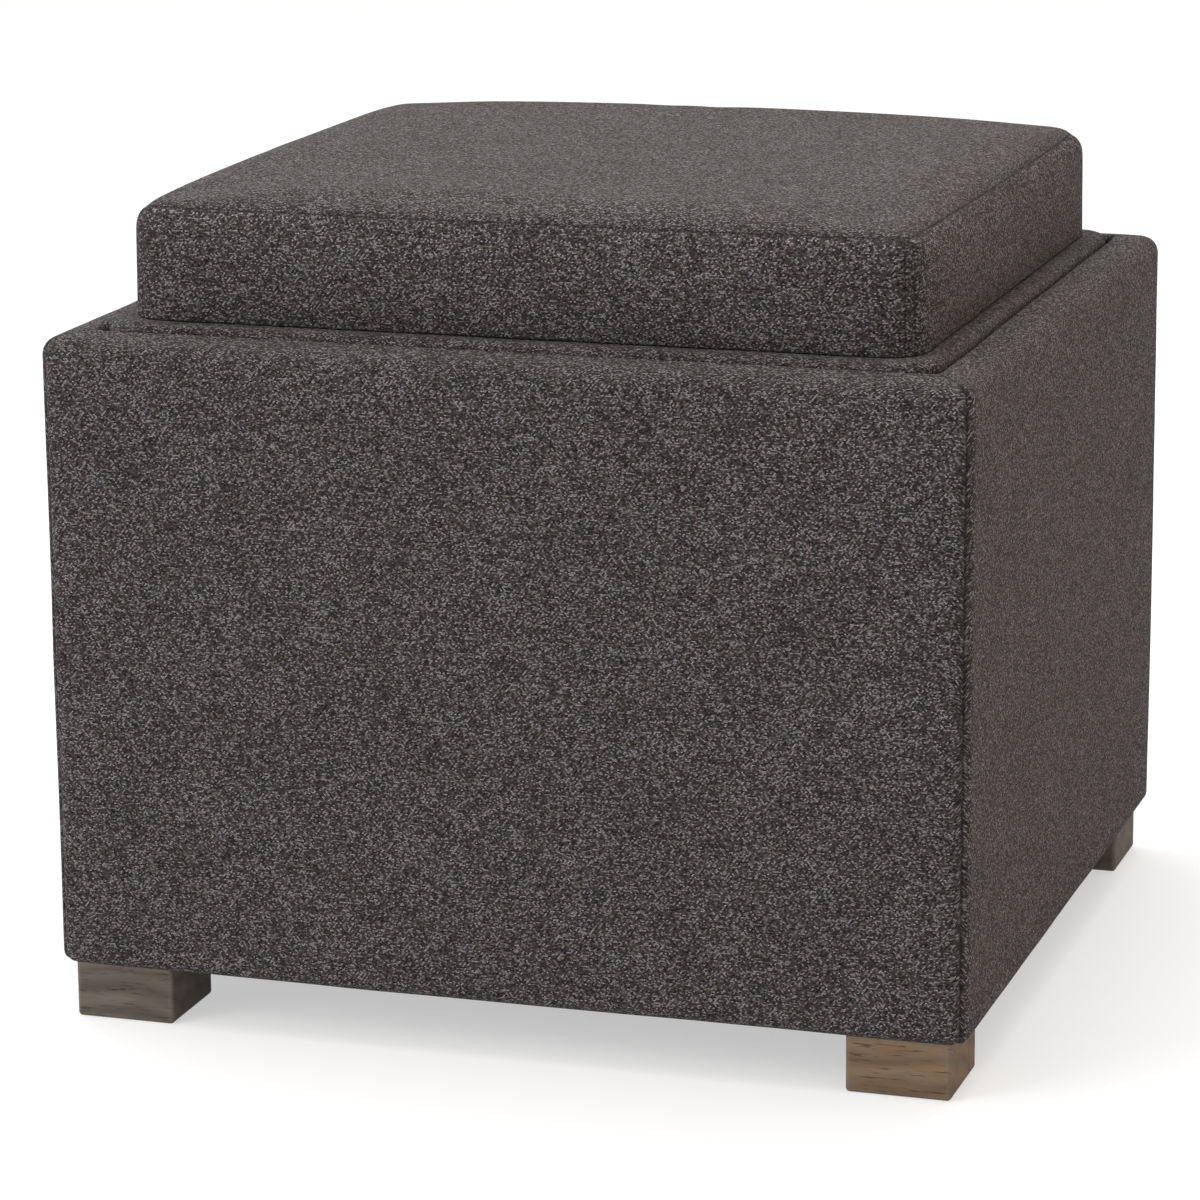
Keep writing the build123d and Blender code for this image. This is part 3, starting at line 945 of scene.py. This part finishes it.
@dataclass
class BoxUpholstery:
    """Cloth stretched over the padded box: four panels sewn at the corners and turned into the recess."""

    corner_radius: float = 9 * MM
    rim_radius: float = 9 * MM
    rim_inner_radius: float = 3.5 * MM
    rim_crown: float = 1.6 * MM
    crown_start: float = 12 * MM
    crown_fade: float = 8 * MM
    recess_corner_radius: float = 5 * MM
    hem_radius: float = 5 * MM
    cloth: float = 1.2 * MM
    flap: float = 20.2 * MM
    grid: float = 10 * MM
    ripple: float = 0.9 * MM
    ripple_size: float = 0.09
    groove: float = 0.9 * MM
    groove_width: float = 1.5 * MM
    groove_lost_on_rim: float = 0.7

    def __post_init__(self) -> None:
        """Reads the box's size and the recess from the CAD covers."""
        boxes = [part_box(f"{side.label}_cover") for side in Side]
        self.low = Vector([min(b[0][i] for b in boxes) for i in range(3)])
        self.high = Vector([max(b[1][i] for b in boxes) for i in range(3)])
        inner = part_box("front_board")[1].y + self.cloth
        wall = inner - self.low.y
        self.recess = Vector((self.high.x - wall, -inner, 0))
        self.recess_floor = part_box("front_ledge")[1].z
        LOG.info("box %s to %s, recess %s", self.low[:], self.high[:], self.recess[:])

    def build(self) -> list[bpy.types.Object]:
        """Makes the four panels.

        Returns:
            The panels.
        """
        ring = self.ring()
        finish = HeatheredCloth(
            "charcoal_weave_box", seams=SeamKind.BOX_CORNERS, half_difference=self.high.x - self.high.y,
            seam_width=1.0 * MM, painted_seam_shade_share=0.6,
        ).make()
        panels = [self.panel(ring, side, finish) for side in Side]
        bpy.data.objects.remove(ring)
        return panels

    def ring(self) -> bpy.types.Object:
        """The whole upholstered box as one open skin, rounded and cut into a grid.

        Returns:
            The skin.
        """
        low, high = self.low, self.high
        skin = block("box_skin", low, high)
        with editing(skin):
            pick_edges(skin, is_upright)
            round_edges(self.corner_radius, 10)
            pick_level(skin, high.z)
            round_edges(self.rim_radius, 7)
            pick_level(skin, low.z)
            round_edges(self.hem_radius, 5)
            self.open_recess(skin)
            self.open_underside(skin)
            slice_plan(skin, high, self.corner_radius, self.grid)
            slice_up(skin, Z_AXIS, spaced(low.z + self.hem_radius, high.z - self.rim_radius, self.grid))
            weld()
        self.soften(skin)
        return skin

    def open_recess(self, skin: bpy.types.Object) -> None:
        """Opens the lid's recess in the top and turns the cloth down into it.

        Args:
            skin: The box's skin, in edit mode.
        """
        high, hole = self.high, self.recess
        self.open_hole(skin, hole, lambda normal: normal.z > STEEP)
        pick_edges(skin, lambda a, b: all(self.on_hole(v, hole) and v.z > high.z - HAIR for v in (a, b)))
        drop = high.z - self.recess_floor
        bpy.ops.mesh.extrude_edges_move(TRANSFORM_OT_translate={"value": (0, 0, -drop)})
        pick_edges(skin, lambda a, b: is_upright(a, b) and max(
            abs(abs(a.x) - hole.x), abs(abs(a.y) - hole.y)
        ) < HAIR)
        round_edges(self.recess_corner_radius, 4)
        inner = Vector((high.x - self.rim_radius - HAIR, high.y - self.rim_radius - HAIR))
        self.pick_rim(skin, inner)
        round_edges(self.rim_inner_radius, 5)

    def pick_rim(self, skin: bpy.types.Object, inner: Vector) -> None:
        """Selects the edges between the rim's flat top and the cloth inside the recess.

        Args:
            skin: The box's skin, in edit mode.
            inner: Half sizes that hold the recess's edge but not the rim's outer one.
        """
        bpy.ops.mesh.select_mode(type="EDGE")
        bpy.ops.mesh.select_all(action="DESELECT")
        mesh = bmesh.from_edit_mesh(skin.data)
        mesh.normal_update()
        for edge in mesh.edges:
            level = sorted(abs(face.normal.z) for face in edge.link_faces)
            inside = all(
                v.co.z > self.high.z - HAIR and abs(v.co.x) < inner.x and abs(v.co.y) < inner.y
                for v in edge.verts
            )
            edge.select = inside and len(level) == 2 and level[0] < 1 - STEEP and level[1] > STEEP
        bmesh.update_edit_mesh(skin.data)

    def on_hole(self, point: Vector, hole: Vector) -> bool:
        """Whether a point is on the edge of a centred rectangle, in plan.

        Args:
            point: The point.
            hole: The rectangle's half sizes.

        Returns:
            Whether it is.
        """
        x, y = abs(point.x), abs(point.y)
        on_x = abs(x - hole.x) < HAIR and y < hole.y + HAIR
        on_y = abs(y - hole.y) < HAIR and x < hole.x + HAIR
        return on_x or on_y

    def open_hole(self, skin: bpy.types.Object, hole: Vector, facing: Callable[[Vector], bool]) -> None:
        """Cuts a centred rectangle out of the faces that face one way.

        Args:
            skin: The skin, in edit mode.
            hole: The rectangle's half sizes.
            facing: Tests a face's normal.
        """
        for axis, end in ((X_AXIS, hole.x), (Y_AXIS, hole.y)):
            slice_up(skin, axis, (-end, end))
        pick_faces(skin, lambda centre, normal: (
            facing(normal) and abs(centre.x) < hole.x and abs(centre.y) < hole.y
        ))
        bpy.ops.mesh.delete(type="FACE")

    def open_underside(self, skin: bpy.types.Object) -> None:
        """Leaves only a flap of cloth under the box.

        Args:
            skin: The box's skin, in edit mode.
        """
        hole = Vector((self.high.x - self.flap, self.high.y - self.flap, 0))
        self.open_hole(skin, hole, lambda normal: normal.z < -STEEP)

    def soften(self, skin: bpy.types.Object) -> None:
        """Gives the stretched cloth a slow ripple and pulls it in along the corner seams.

        Args:
            skin: The box's skin.
        """
        ripple(skin, "slow_ripple", self.ripple_size, self.ripple)
        points, normals = points_of(skin), normals_of(skin)
        up_rim = np.clip((points[:, 2] - self.high.z + self.rim_radius) / self.rim_radius, 0, 1)
        near = np.exp(-((off_corners(points, self.high) / self.groove_width) ** 2))
        pull = self.groove * near * (1 - self.groove_lost_on_rim * up_rim)
        points = points - normals * pull[:, None]
        inset = np.minimum(self.high.x - np.abs(points[:, 0]), self.high.y - np.abs(points[:, 1]))
        rim = self.high.x - self.recess.x
        share = np.clip((inset - self.rim_radius / 2) / (rim - self.rim_radius), 0, 1)
        near_top = np.clip((points[:, 2] - self.high.z + self.crown_start) / self.crown_fade, 0, 1)
        points[:, 2] += self.rim_crown * np.sin(share * math.pi / 2) ** 2 * near_top
        move_points(skin, points)

    def panel(self, ring: bpy.types.Object, side: Side, finish: bpy.types.Material) -> bpy.types.Object:
        """One side's cloth, cut from the ring along the corner seams.

        Args:
            ring: The whole skin.
            side: Which side.
            finish: The cloth's material.

        Returns:
            The panel.
        """
        panel = copy_of(ring, f"{side.label}_cloth")
        corner = Vector((self.high.x, self.high.y, 0))
        with editing(panel):
            for turn in (-1, 1):
                point = Vector((
                    corner.x * (side.outward.x or turn),
                    corner.y * (side.outward.y or turn),
                    0,
                ))
                inward = side.outward - side.along * turn
                bpy.ops.mesh.select_all(action="SELECT")
                bpy.ops.mesh.bisect(plane_co=point, plane_no=inward.normalized(), clear_inner=True)
        half = self.high.x if side.outward.x else self.high.y
        apply_modifier(panel, "SOLIDIFY", thickness=self.cloth, offset=-1.0)
        self.lay_weave(panel, side, half)
        smooth(panel)
        panel.data.materials.append(finish)
        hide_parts(f"{side.label}_cover")
        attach(panel, "box")
        LOG.info("%s: %d faces", panel.name, len(panel.data.polygons))
        return panel

    def lay_weave(self, panel: bpy.types.Object, side: Side, half: float) -> None:
        """Runs the weave up the wall, over the rim and down into the recess without a break.

        Args:
            panel: The panel.
            side: Which side it is on.
            half: The box's half size towards that side.
        """
        points = corners_of(panel)[0]
        across = points @ np.array(side.along)
        inset = np.maximum(half - points @ np.array(side.outward), 0)
        rim = half - (self.recess.x if side.outward.x else self.recess.y)
        middle = (self.low.z + self.high.z) / 2
        up = points[:, 2] + inset
        up = np.where(inset > rim / 2, 2 * self.high.z + inset - points[:, 2], up)
        up = np.where(points[:, 2] < middle, points[:, 2] - inset, up)
        cloth_map(panel, across, up)


# ---- The lid -------------------------------------------------------------------------------------


@dataclass
class LidCloth:
    """Cloth over the lid board's wadding: it shows as a soft roll around the cushion."""

    corner_radius: float = 15 * MM
    roll_radius: float = 4.5 * MM
    cloth: float = 1.2 * MM
    grid: float = 9 * MM
    ripple: float = 1.1 * MM
    ripple_size: float = 0.035
    bulge: float = 0.7 * MM

    def build(self) -> bpy.types.Object:
        """Makes the cloth.

        Returns:
            The cloth.
        """
        low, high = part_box("lid_cover")
        _, board_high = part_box("lid_board")
        skin = block("lid_cloth", low, high)
        lip = high.x - board_high.x
        with editing(skin):
            pick_edges(skin, is_upright)
            round_edges(self.corner_radius, 8)
            pick_level(skin, high.z)
            round_edges(self.roll_radius, 6)
            pick_faces(skin, lambda centre, normal: normal.z < -STEEP)
            bpy.ops.mesh.inset(thickness=lip)
            bpy.ops.mesh.delete(type="FACE")
            slice_plan(skin, high, self.corner_radius, self.grid)
            weld()
        ripple(skin, "roll_ripple", self.ripple_size, self.ripple)
        spots, facing = points_of(skin), normals_of(skin)
        level = np.clip((spots[:, 2] - low.z) / (high.z - low.z), 0, 1)
        swell = self.bulge * level * np.abs(facing[:, :2]).max(1)
        move_points(skin, spots + facing * swell[:, None])
        apply_modifier(skin, "SOLIDIFY", thickness=self.cloth, offset=-1.0)
        points = corners_of(skin)[0]
        drop = np.maximum(high.z - points[:, 2], 0)
        on_x = np.abs(points[:, 0]) - high.x > np.abs(points[:, 1]) - high.y
        across = points[:, 0] + np.where(on_x, np.sign(points[:, 0]) * drop, 0)
        up = points[:, 1] + np.where(on_x, 0, np.sign(points[:, 1]) * drop)
        cloth_map(skin, across, up)
        smooth(skin)
        skin.data.materials.append(HeatheredCloth("charcoal_weave_lid").make())
        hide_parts("lid_cover")
        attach(skin, "lid")
        LOG.info("%s: %d faces", skin.name, len(skin.data.polygons))
        return skin


@dataclass
class Cushion:
    """The lid's foam cushion in its sewn cover: a top panel, a boxing strip and a base."""

    ease: float = 1.0 * MM
    corner_radius: float = 18 * MM
    roll_radius: float = 14 * MM
    crown: float = 6.5 * MM
    grid: float = 8 * MM
    pressure: float = 1.6
    frames: int = 16
    cap: float = 2.4 * MM
    groove: float = 0.6 * MM
    groove_width: float = 1.6 * MM
    corner_seam_spread: float = 2.5 * MM
    corner_groove: float = 0.8
    corner_hold: float = 0.5
    corner_hold_width: float = 12 * MM
    base_hold: float = 1.5 * MM
    top_edge_drop: float = 4 * MM
    smooth_under: float = 60.0

    def __post_init__(self) -> None:
        """Reads the cushion's size from its CAD solids."""
        self.low, base_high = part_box("cushion_base_cloth")
        self.high = Vector((base_high.x, base_high.y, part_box("cushion_top_cover")[1].z))
        self.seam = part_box("cushion_front_boxing")[1].z

    def build(self) -> bpy.types.Object:
        """Makes the cushion.

        Returns:
            The cushion.
        """
        piece = self.blank()
        self.dome(piece)
        self.stuff(piece)
        apply_modifier(piece, "SUBSURF", levels=1, render_levels=1)
        self.sew(piece)
        self.lay_weave(piece)
        smooth(piece, self.smooth_under)
        finish = HeatheredCloth(
            "charcoal_weave_cushion", seams=SeamKind.CUSHION, seam_height=self.seam,
            half_difference=self.high.x - self.high.y, seam_width=0.55 * MM,
            seam_spread=self.corner_seam_spread, painted_seam_shade_share=0.6,
        )
        piece.data.materials.append(finish.make())
        sides = [f"cushion_{side.label}_boxing" for side in Side]
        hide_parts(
            "cushion_top_cover", "cushion_base_cloth", "cushion_wadding", "cushion_foam", *sides
        )
        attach(piece, "lid")
        LOG.info("%s: %d faces", piece.name, len(piece.data.polygons))
        return piece

    def blank(self) -> bpy.types.Object:
        """The cushion before it is stuffed.

        Returns:
            The blank.
        """
        ease = Vector((self.ease, self.ease, 0))
        low, high = self.low - ease, self.high + ease - Z_AXIS * self.cap
        piece = block("cushion", low, high)
        with editing(piece):
            pick_edges(piece, is_upright)
            round_edges(self.corner_radius, 6)
            pick_level(piece, high.z)
            round_edges(self.roll_radius, 6)
            slice_plan(piece, high, self.corner_radius, self.grid)
            near = [low.z + step for step in (1 * MM, 3 * MM)]
            slice_up(piece, Z_AXIS, near + spaced(low.z, high.z - self.roll_radius, self.grid))
            weld()
        return piece

    def dome(self, piece: bpy.types.Object) -> None:
        """Lowers the top towards its corners.

        Args:
            piece: The blank.
        """
        points = points_of(piece)
        away = (points[:, 0] * points[:, 1] / (self.high.x * self.high.y)) ** 2
        level = np.clip((points[:, 2] - self.low.z) / (self.high.z - self.low.z), 0, 1)
        points[:, 2] -= self.crown * away * level**2
        move_points(piece, points)

    def corner_gap(self, points: np.ndarray) -> np.ndarray:
        """How far each point is, across the corner, from the nearest corner seam.

        Args:
            points: Three columns.

        Returns:
            The distances.
        """
        return np.abs(off_corners(points, self.high) - self.corner_seam_spread)

    def stuff(self, piece: bpy.types.Object) -> None:
        """Swells the cover over its foam by cloth simulation, held at the base and down its corner seams.

        Args:
            piece: The blank.
        """
        rest = points_of(piece)
        x, y, z = np.abs(rest[:, 0]), np.abs(rest[:, 1]), rest[:, 2]
        edge = np.maximum(x - self.high.x, y - self.high.y) > -2 * self.corner_radius
        corner = np.exp(-((self.corner_gap(rest) / self.corner_hold_width) ** 2))
        held = np.where(z < self.low.z + self.base_hold, 1.0, 0.0)
        held = np.maximum(held, np.where(edge, self.corner_hold * corner, 0))
        group = piece.vertex_groups.new(name="sewn")
        for index, weight in enumerate(held):
            if weight > 0.02:
                group.add([index], float(weight), "REPLACE")
        only(piece)
        modifier = piece.modifiers.new("Cloth", "CLOTH")
        settings = {
            "quality": 6, "mass": 0.3, "tension_stiffness": 25, "compression_stiffness": 25,
            "shear_stiffness": 12, "bending_stiffness": 4.0, "use_pressure": True,
            "uniform_pressure_force": self.pressure, "vertex_group_mass": "sewn", "pin_stiffness": 1.0,
        }
        for key, value in settings.items():
            setattr(modifier.settings, key, value)
        modifier.settings.effector_weights.gravity = 0
        for step in range(1, self.frames + 1):
            bpy.context.scene.frame_set(step)
        bpy.ops.object.modifier_apply(modifier="Cloth")
        bpy.context.scene.frame_set(1)
        moved = points_of(piece) - rest
        length = np.linalg.norm(moved, axis=1)
        moved *= (self.cap * np.tanh(length / self.cap) / np.maximum(length, 1e-9))[:, None]
        move_points(piece, rest + moved)
        LOG.info("cushion swelled %.1f mm at most, %.1f mm on average", length.max() / MM, length.mean() / MM)

    def sew(self, piece: bpy.types.Object) -> None:
        """Brings the cushion to its height, and pulls its seams in.

        Args:
            piece: The swelled cushion.
        """
        points = points_of(piece)
        low, high = points.min(0), points.max(0)
        height = self.high.z - self.low.z
        points[:, 2] = self.low.z + (points[:, 2] - low[2]) * height / (high[2] - low[2])
        move_points(piece, points)
        normals = normals_of(piece)
        x, y, z = np.abs(points[:, 0]), np.abs(points[:, 1]), points[:, 2]
        side = np.maximum(x - self.high.x, y - self.high.y) > -self.corner_radius
        level = np.where(side, np.exp(-(((z - self.seam) / self.groove_width) ** 2)), 0)
        below = side & (z < self.seam)
        near = np.exp(-((self.corner_gap(points) / self.groove_width) ** 2))
        corner = np.where(below, self.corner_groove * near, 0)
        pull = self.groove * np.maximum(level, corner)
        move_points(piece, points - normals * pull[:, None])

    def lay_weave(self, piece: bpy.types.Object) -> None:
        """Runs the weave over the top panel and its rolled edges, and along each boxing strip.

        Args:
            piece: The cushion.
        """
        points, normals, centres = corners_of(piece)
        x, y, z = points.T
        on_x = np.abs(normals[:, 0]) > np.abs(normals[:, 1])
        top = centres[:, 2] > self.seam
        roll_x, roll_y = self.high.x - self.roll_radius, self.high.y - self.roll_radius
        drop = np.maximum(self.high.z - self.top_edge_drop - z, 0)
        over_x = (np.abs(centres[:, 0]) > roll_x) & on_x
        over_y = (np.abs(centres[:, 1]) > roll_y) & ~on_x
        across = np.where(top, x + np.where(over_x, np.sign(x) * drop, 0), np.where(on_x, y, x))
        up = np.where(top, y + np.where(over_y, np.sign(y) * drop, 0), z)
        cloth_map(piece, across, up)


# ---- Pieces that keep their CAD shape ------------------------------------------------------------


@dataclass
class Carpentry:
    """The boards, ledges, feet, tray, linings and fixings, which keep their CAD shapes."""

    def dress(self) -> None:
        """Gives each CAD node its material."""
        self.dress_feet()
        self.dress_tray()
        self.dress_boards()
        self.dress_soft_layers()
        self.dress_fixings()

    def give(self, node: str, material: bpy.types.Material) -> None:
        """Gives one CAD node a material.

        Args:
            node: The node's name.
            material: Its material.
        """
        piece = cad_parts[node]
        piece.data.materials.clear()
        piece.data.materials.append(material)
        LOG.info("%s is %s", node, material.name)

    def dress_feet(self) -> None:
        """Stains the four block feet, each from its own piece of wood. The front-right foot's lighter, warmer
        tones are painted warm light from the right.
        """
        grey = ((0.135, 0.112, 0.088, 1), (0.058, 0.047, 0.037, 1), (0.018, 0.015, 0.012, 1))
        brown = ((0.25, 0.16, 0.09, 1), (0.09, 0.056, 0.032, 1), (0.025, 0.015, 0.01, 1))
        for index, corner in enumerate(Corner):
            low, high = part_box(f"{corner.label}_foot")
            # Painted warm light: the front-right foot takes lighter, warmer tones than the other three feet.
            light, dark, pore = brown if corner is Corner.FRONT_RIGHT else grey
            finish = StainedWood(
                f"weathered_stain_{corner.label}", light, dark, pore, rings_per_metre=150.0,
                weathering=0.35, offset=(0.37 * index, 0.11 * index, 0.053 * index),
                worn=((low + high) / 2, (high - low) / 2),
            )
            self.give(f"{corner.label}_foot", finish.make())

    def dress_tray(self) -> None:
        """Stains the tray's rim and floor, the grain along each piece."""
        tones = ((0.2, 0.15, 0.11, 1), (0.085, 0.06, 0.043, 1), (0.02, 0.014, 0.01, 1))
        for side in Side:
            low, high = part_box(f"{side.label}_tray_rail")
            finish = StainedWood(
                f"tray_stain_{side.label}", *tones, rings_per_metre=170.0, weathering=0.12,
                along_y=bool(side.outward.x), worn=((low + high) / 2, (high - low) / 2), gloss=0.45,
            )
            self.give(f"{side.label}_tray_rail", finish.make())
        panel = StainedWood("tray_stain_floor", *tones, rings_per_metre=60.0, weathering=0.08, gloss=0.45)
        self.give("tray_floor", panel.make())

    def dress_boards(self) -> None:
        """Leaves the boards raw and planes the ledges."""
        raw = FibreStock(
            "raw_fibreboard", (0.33, 0.235, 0.15, 1), (0.46, 0.35, 0.24, 1), fineness=2800.0, roughness=0.8,
            relief=0.15,
        ).make()
        for node in ("base_board", "lid_board", *(f"{side.label}_board" for side in Side)):
            self.give(node, raw)
        tones = ((0.6, 0.44, 0.27, 1), (0.43, 0.29, 0.16, 1), (0.25, 0.16, 0.09, 1))
        for side in Side:
            finish = StainedWood(
                f"planed_softwood_{side.label}", *tones, rings_per_metre=110.0, weathering=0.0,
                along_y=bool(side.outward.x),
            )
            self.give(f"{side.label}_ledge", finish.make())

    def dress_soft_layers(self) -> None:
        """Gives the foam, wadding, lining and dust cloth their fibres."""
        foam, wadding, lining, dust = (
            FibreStock(name, base, fleck, fineness, roughness, relief).make()
            for name, base, fleck, fineness, roughness, relief in (
                ("pale_foam", (0.62, 0.55, 0.38, 1), (0.75, 0.68, 0.5, 1), 2200.0, 0.95, 0.6),
                ("white_wadding", (0.7, 0.7, 0.68, 1), (0.85, 0.85, 0.84, 1), 1000.0, 0.95, 0.8),
                ("black_lining", (0.012, 0.012, 0.013, 1), (0.035, 0.035, 0.038, 1), 2600.0, 0.85, 0.4),
                ("black_dust_cloth", (0.01, 0.01, 0.01, 1), (0.03, 0.03, 0.032, 1), 1600.0, 0.75, 0.5),
            )
        )
        for side in Side:
            self.give(f"{side.label}_padding", foam)
            self.give(f"{side.label}_lining", lining)
        self.give("lid_wadding", wadding)
        self.give("floor_lining", lining)
        self.give("dust_cloth", dust)

    def dress_fixings(self) -> None:
        """Plates the screws, bolts, nuts and staples."""
        plated = PlatedSteel("zinc_plate").make()
        for node in (
            "corner_screws", "base_screws", "ledge_screws", "rail_screws", "foot_bolts", "tee_nuts",
            "dust_cloth_staples",
        ):
            self.give(node, plated)


# ---- Studio --------------------------------------------------------------------------------------


@dataclass(frozen=True)
class SoftBox:
    """A rectangular studio light."""

    name: str
    place: tuple[float, float, float]
    aim: tuple[float, float, float]
    size: tuple[float, float]
    power: float
    tint: tuple[float, float, float] = (1, 1, 1)

    def hang(self) -> None:
        """Puts the light in the scene."""
        lamp = bpy.data.lights.new(self.name, "AREA")
        lamp.shape = "RECTANGLE"
        lamp.size, lamp.size_y = self.size
        lamp.energy = self.power
        lamp.color = self.tint
        holder = bpy.data.objects.new(self.name, lamp)
        holder.location = self.place
        ray = Vector(self.aim) - Vector(self.place)
        holder.rotation_euler = ray.to_track_quat("-Z", "Y").to_euler()
        bpy.context.scene.collection.objects.link(holder)


@dataclass
class Studio:
    """A white floor, soft light and the camera."""

    lens: float = 141.67
    place: tuple[float, float, float] = (0.69165, -2.20948, 0.74420)
    heading: float = 17.785
    tilt: float = 13.866
    roll: float = -0.447
    sky: float = 1.0
    right_tint: Colour = (0.72, 0.6, 0.5, 1)
    floor_glow: float = 0.5
    floor_bounce: float = 0.2
    floor_greys: tuple[Colour, Colour] = ((0.5, 0.5, 0.5, 1), (0.52, 0.52, 0.52, 1))

    def build(self) -> None:
        """Sets the floor, the light and the camera."""
        self.lay_floor()
        self.light()
        self.set_camera()
        bpy.context.scene.view_settings.view_transform = "Standard"

    def lay_floor(self) -> None:
        """Lays a pale matt floor."""
        bpy.ops.object.select_all(action="DESELECT")
        bpy.ops.mesh.primitive_plane_add(size=60)
        floor = bpy.context.active_object
        floor.name = "studio_floor"
        material, g, shader = new_material("floor_paper")
        place = g.add("ShaderNodeTexCoord").outputs["Object"]
        g.feed(shader.inputs["Base Color"], g.mix(g.noise(place, 3.0), *self.floor_greys))
        set_inputs(shader, {"Roughness": 0.9, "Specular IOR Level": 0.1, "Emission Color": (1, 1, 1, 1)})
        seen = g.add("ShaderNodeLightPath").outputs["Is Camera Ray"]
        glow = g.plus(self.floor_bounce, g.times(seen, self.floor_glow - self.floor_bounce))
        g.feed(shader.inputs["Emission Strength"], glow)
        floor.data.materials.append(material)

    def light(self) -> None:
        """Hangs the soft boxes and whitens the surroundings."""
        world = bpy.data.worlds.new("studio_surround")
        world.use_nodes = True
        g = Graph(world.node_tree)
        backdrop = world.node_tree.nodes["Background"]
        x, _, _ = g.split(g.add("ShaderNodeTexCoord").outputs["Generated"])
        g.feed(backdrop.inputs["Color"], g.mix(g.between(x, -0.1, 0.9), (1, 1, 1, 1), self.right_tint))
        backdrop.inputs["Strength"].default_value = self.sky
        bpy.context.scene.world = world
        for lamp in (
            SoftBox("overhead", (-0.3, 0.4, 2.6), (0, 0, 0.2), (2.4, 2.4), 42.0),
            SoftBox("front_left", (-2.2, -2.4, 1.6), (0, 0, 0.2), (1.6, 1.6), 37.0),
            SoftBox("right_fill", (2.6, -0.6, 1.2), (0, 0, 0.2), (1.4, 1.4), 3.0, (1.0, 0.9, 0.8)),
        ):
            lamp.hang()

    def set_camera(self) -> None:
        """Puts the camera at the viewing angle."""
        data = bpy.data.cameras.new("camera")
        data.lens = self.lens
        data.sensor_width = 36.0
        camera = bpy.data.objects.new("camera", data)
        turn = Matrix.Rotation(math.radians(self.heading), 4, "Z")
        nod = Matrix.Rotation(math.radians(90 - self.tilt), 4, "X")
        lean = Matrix.Rotation(math.radians(self.roll), 4, "Z")
        camera.matrix_world = Matrix.Translation(self.place) @ turn @ nod @ lean
        bpy.context.scene.collection.objects.link(camera)
        bpy.context.scene.camera = camera


def main() -> None:
    """Builds the ottoman, then its studio."""
    logging.basicConfig(level=logging.INFO, format="%(name)s: %(message)s")
    bpy.ops.object.select_all(action="DESELECT")
    EFFECTS.build()
    Studio().build()
    BoxUpholstery().build()
    LidCloth().build()
    Cushion().build()
    Carpentry().dress()


if __name__ == "__main__":
    main()
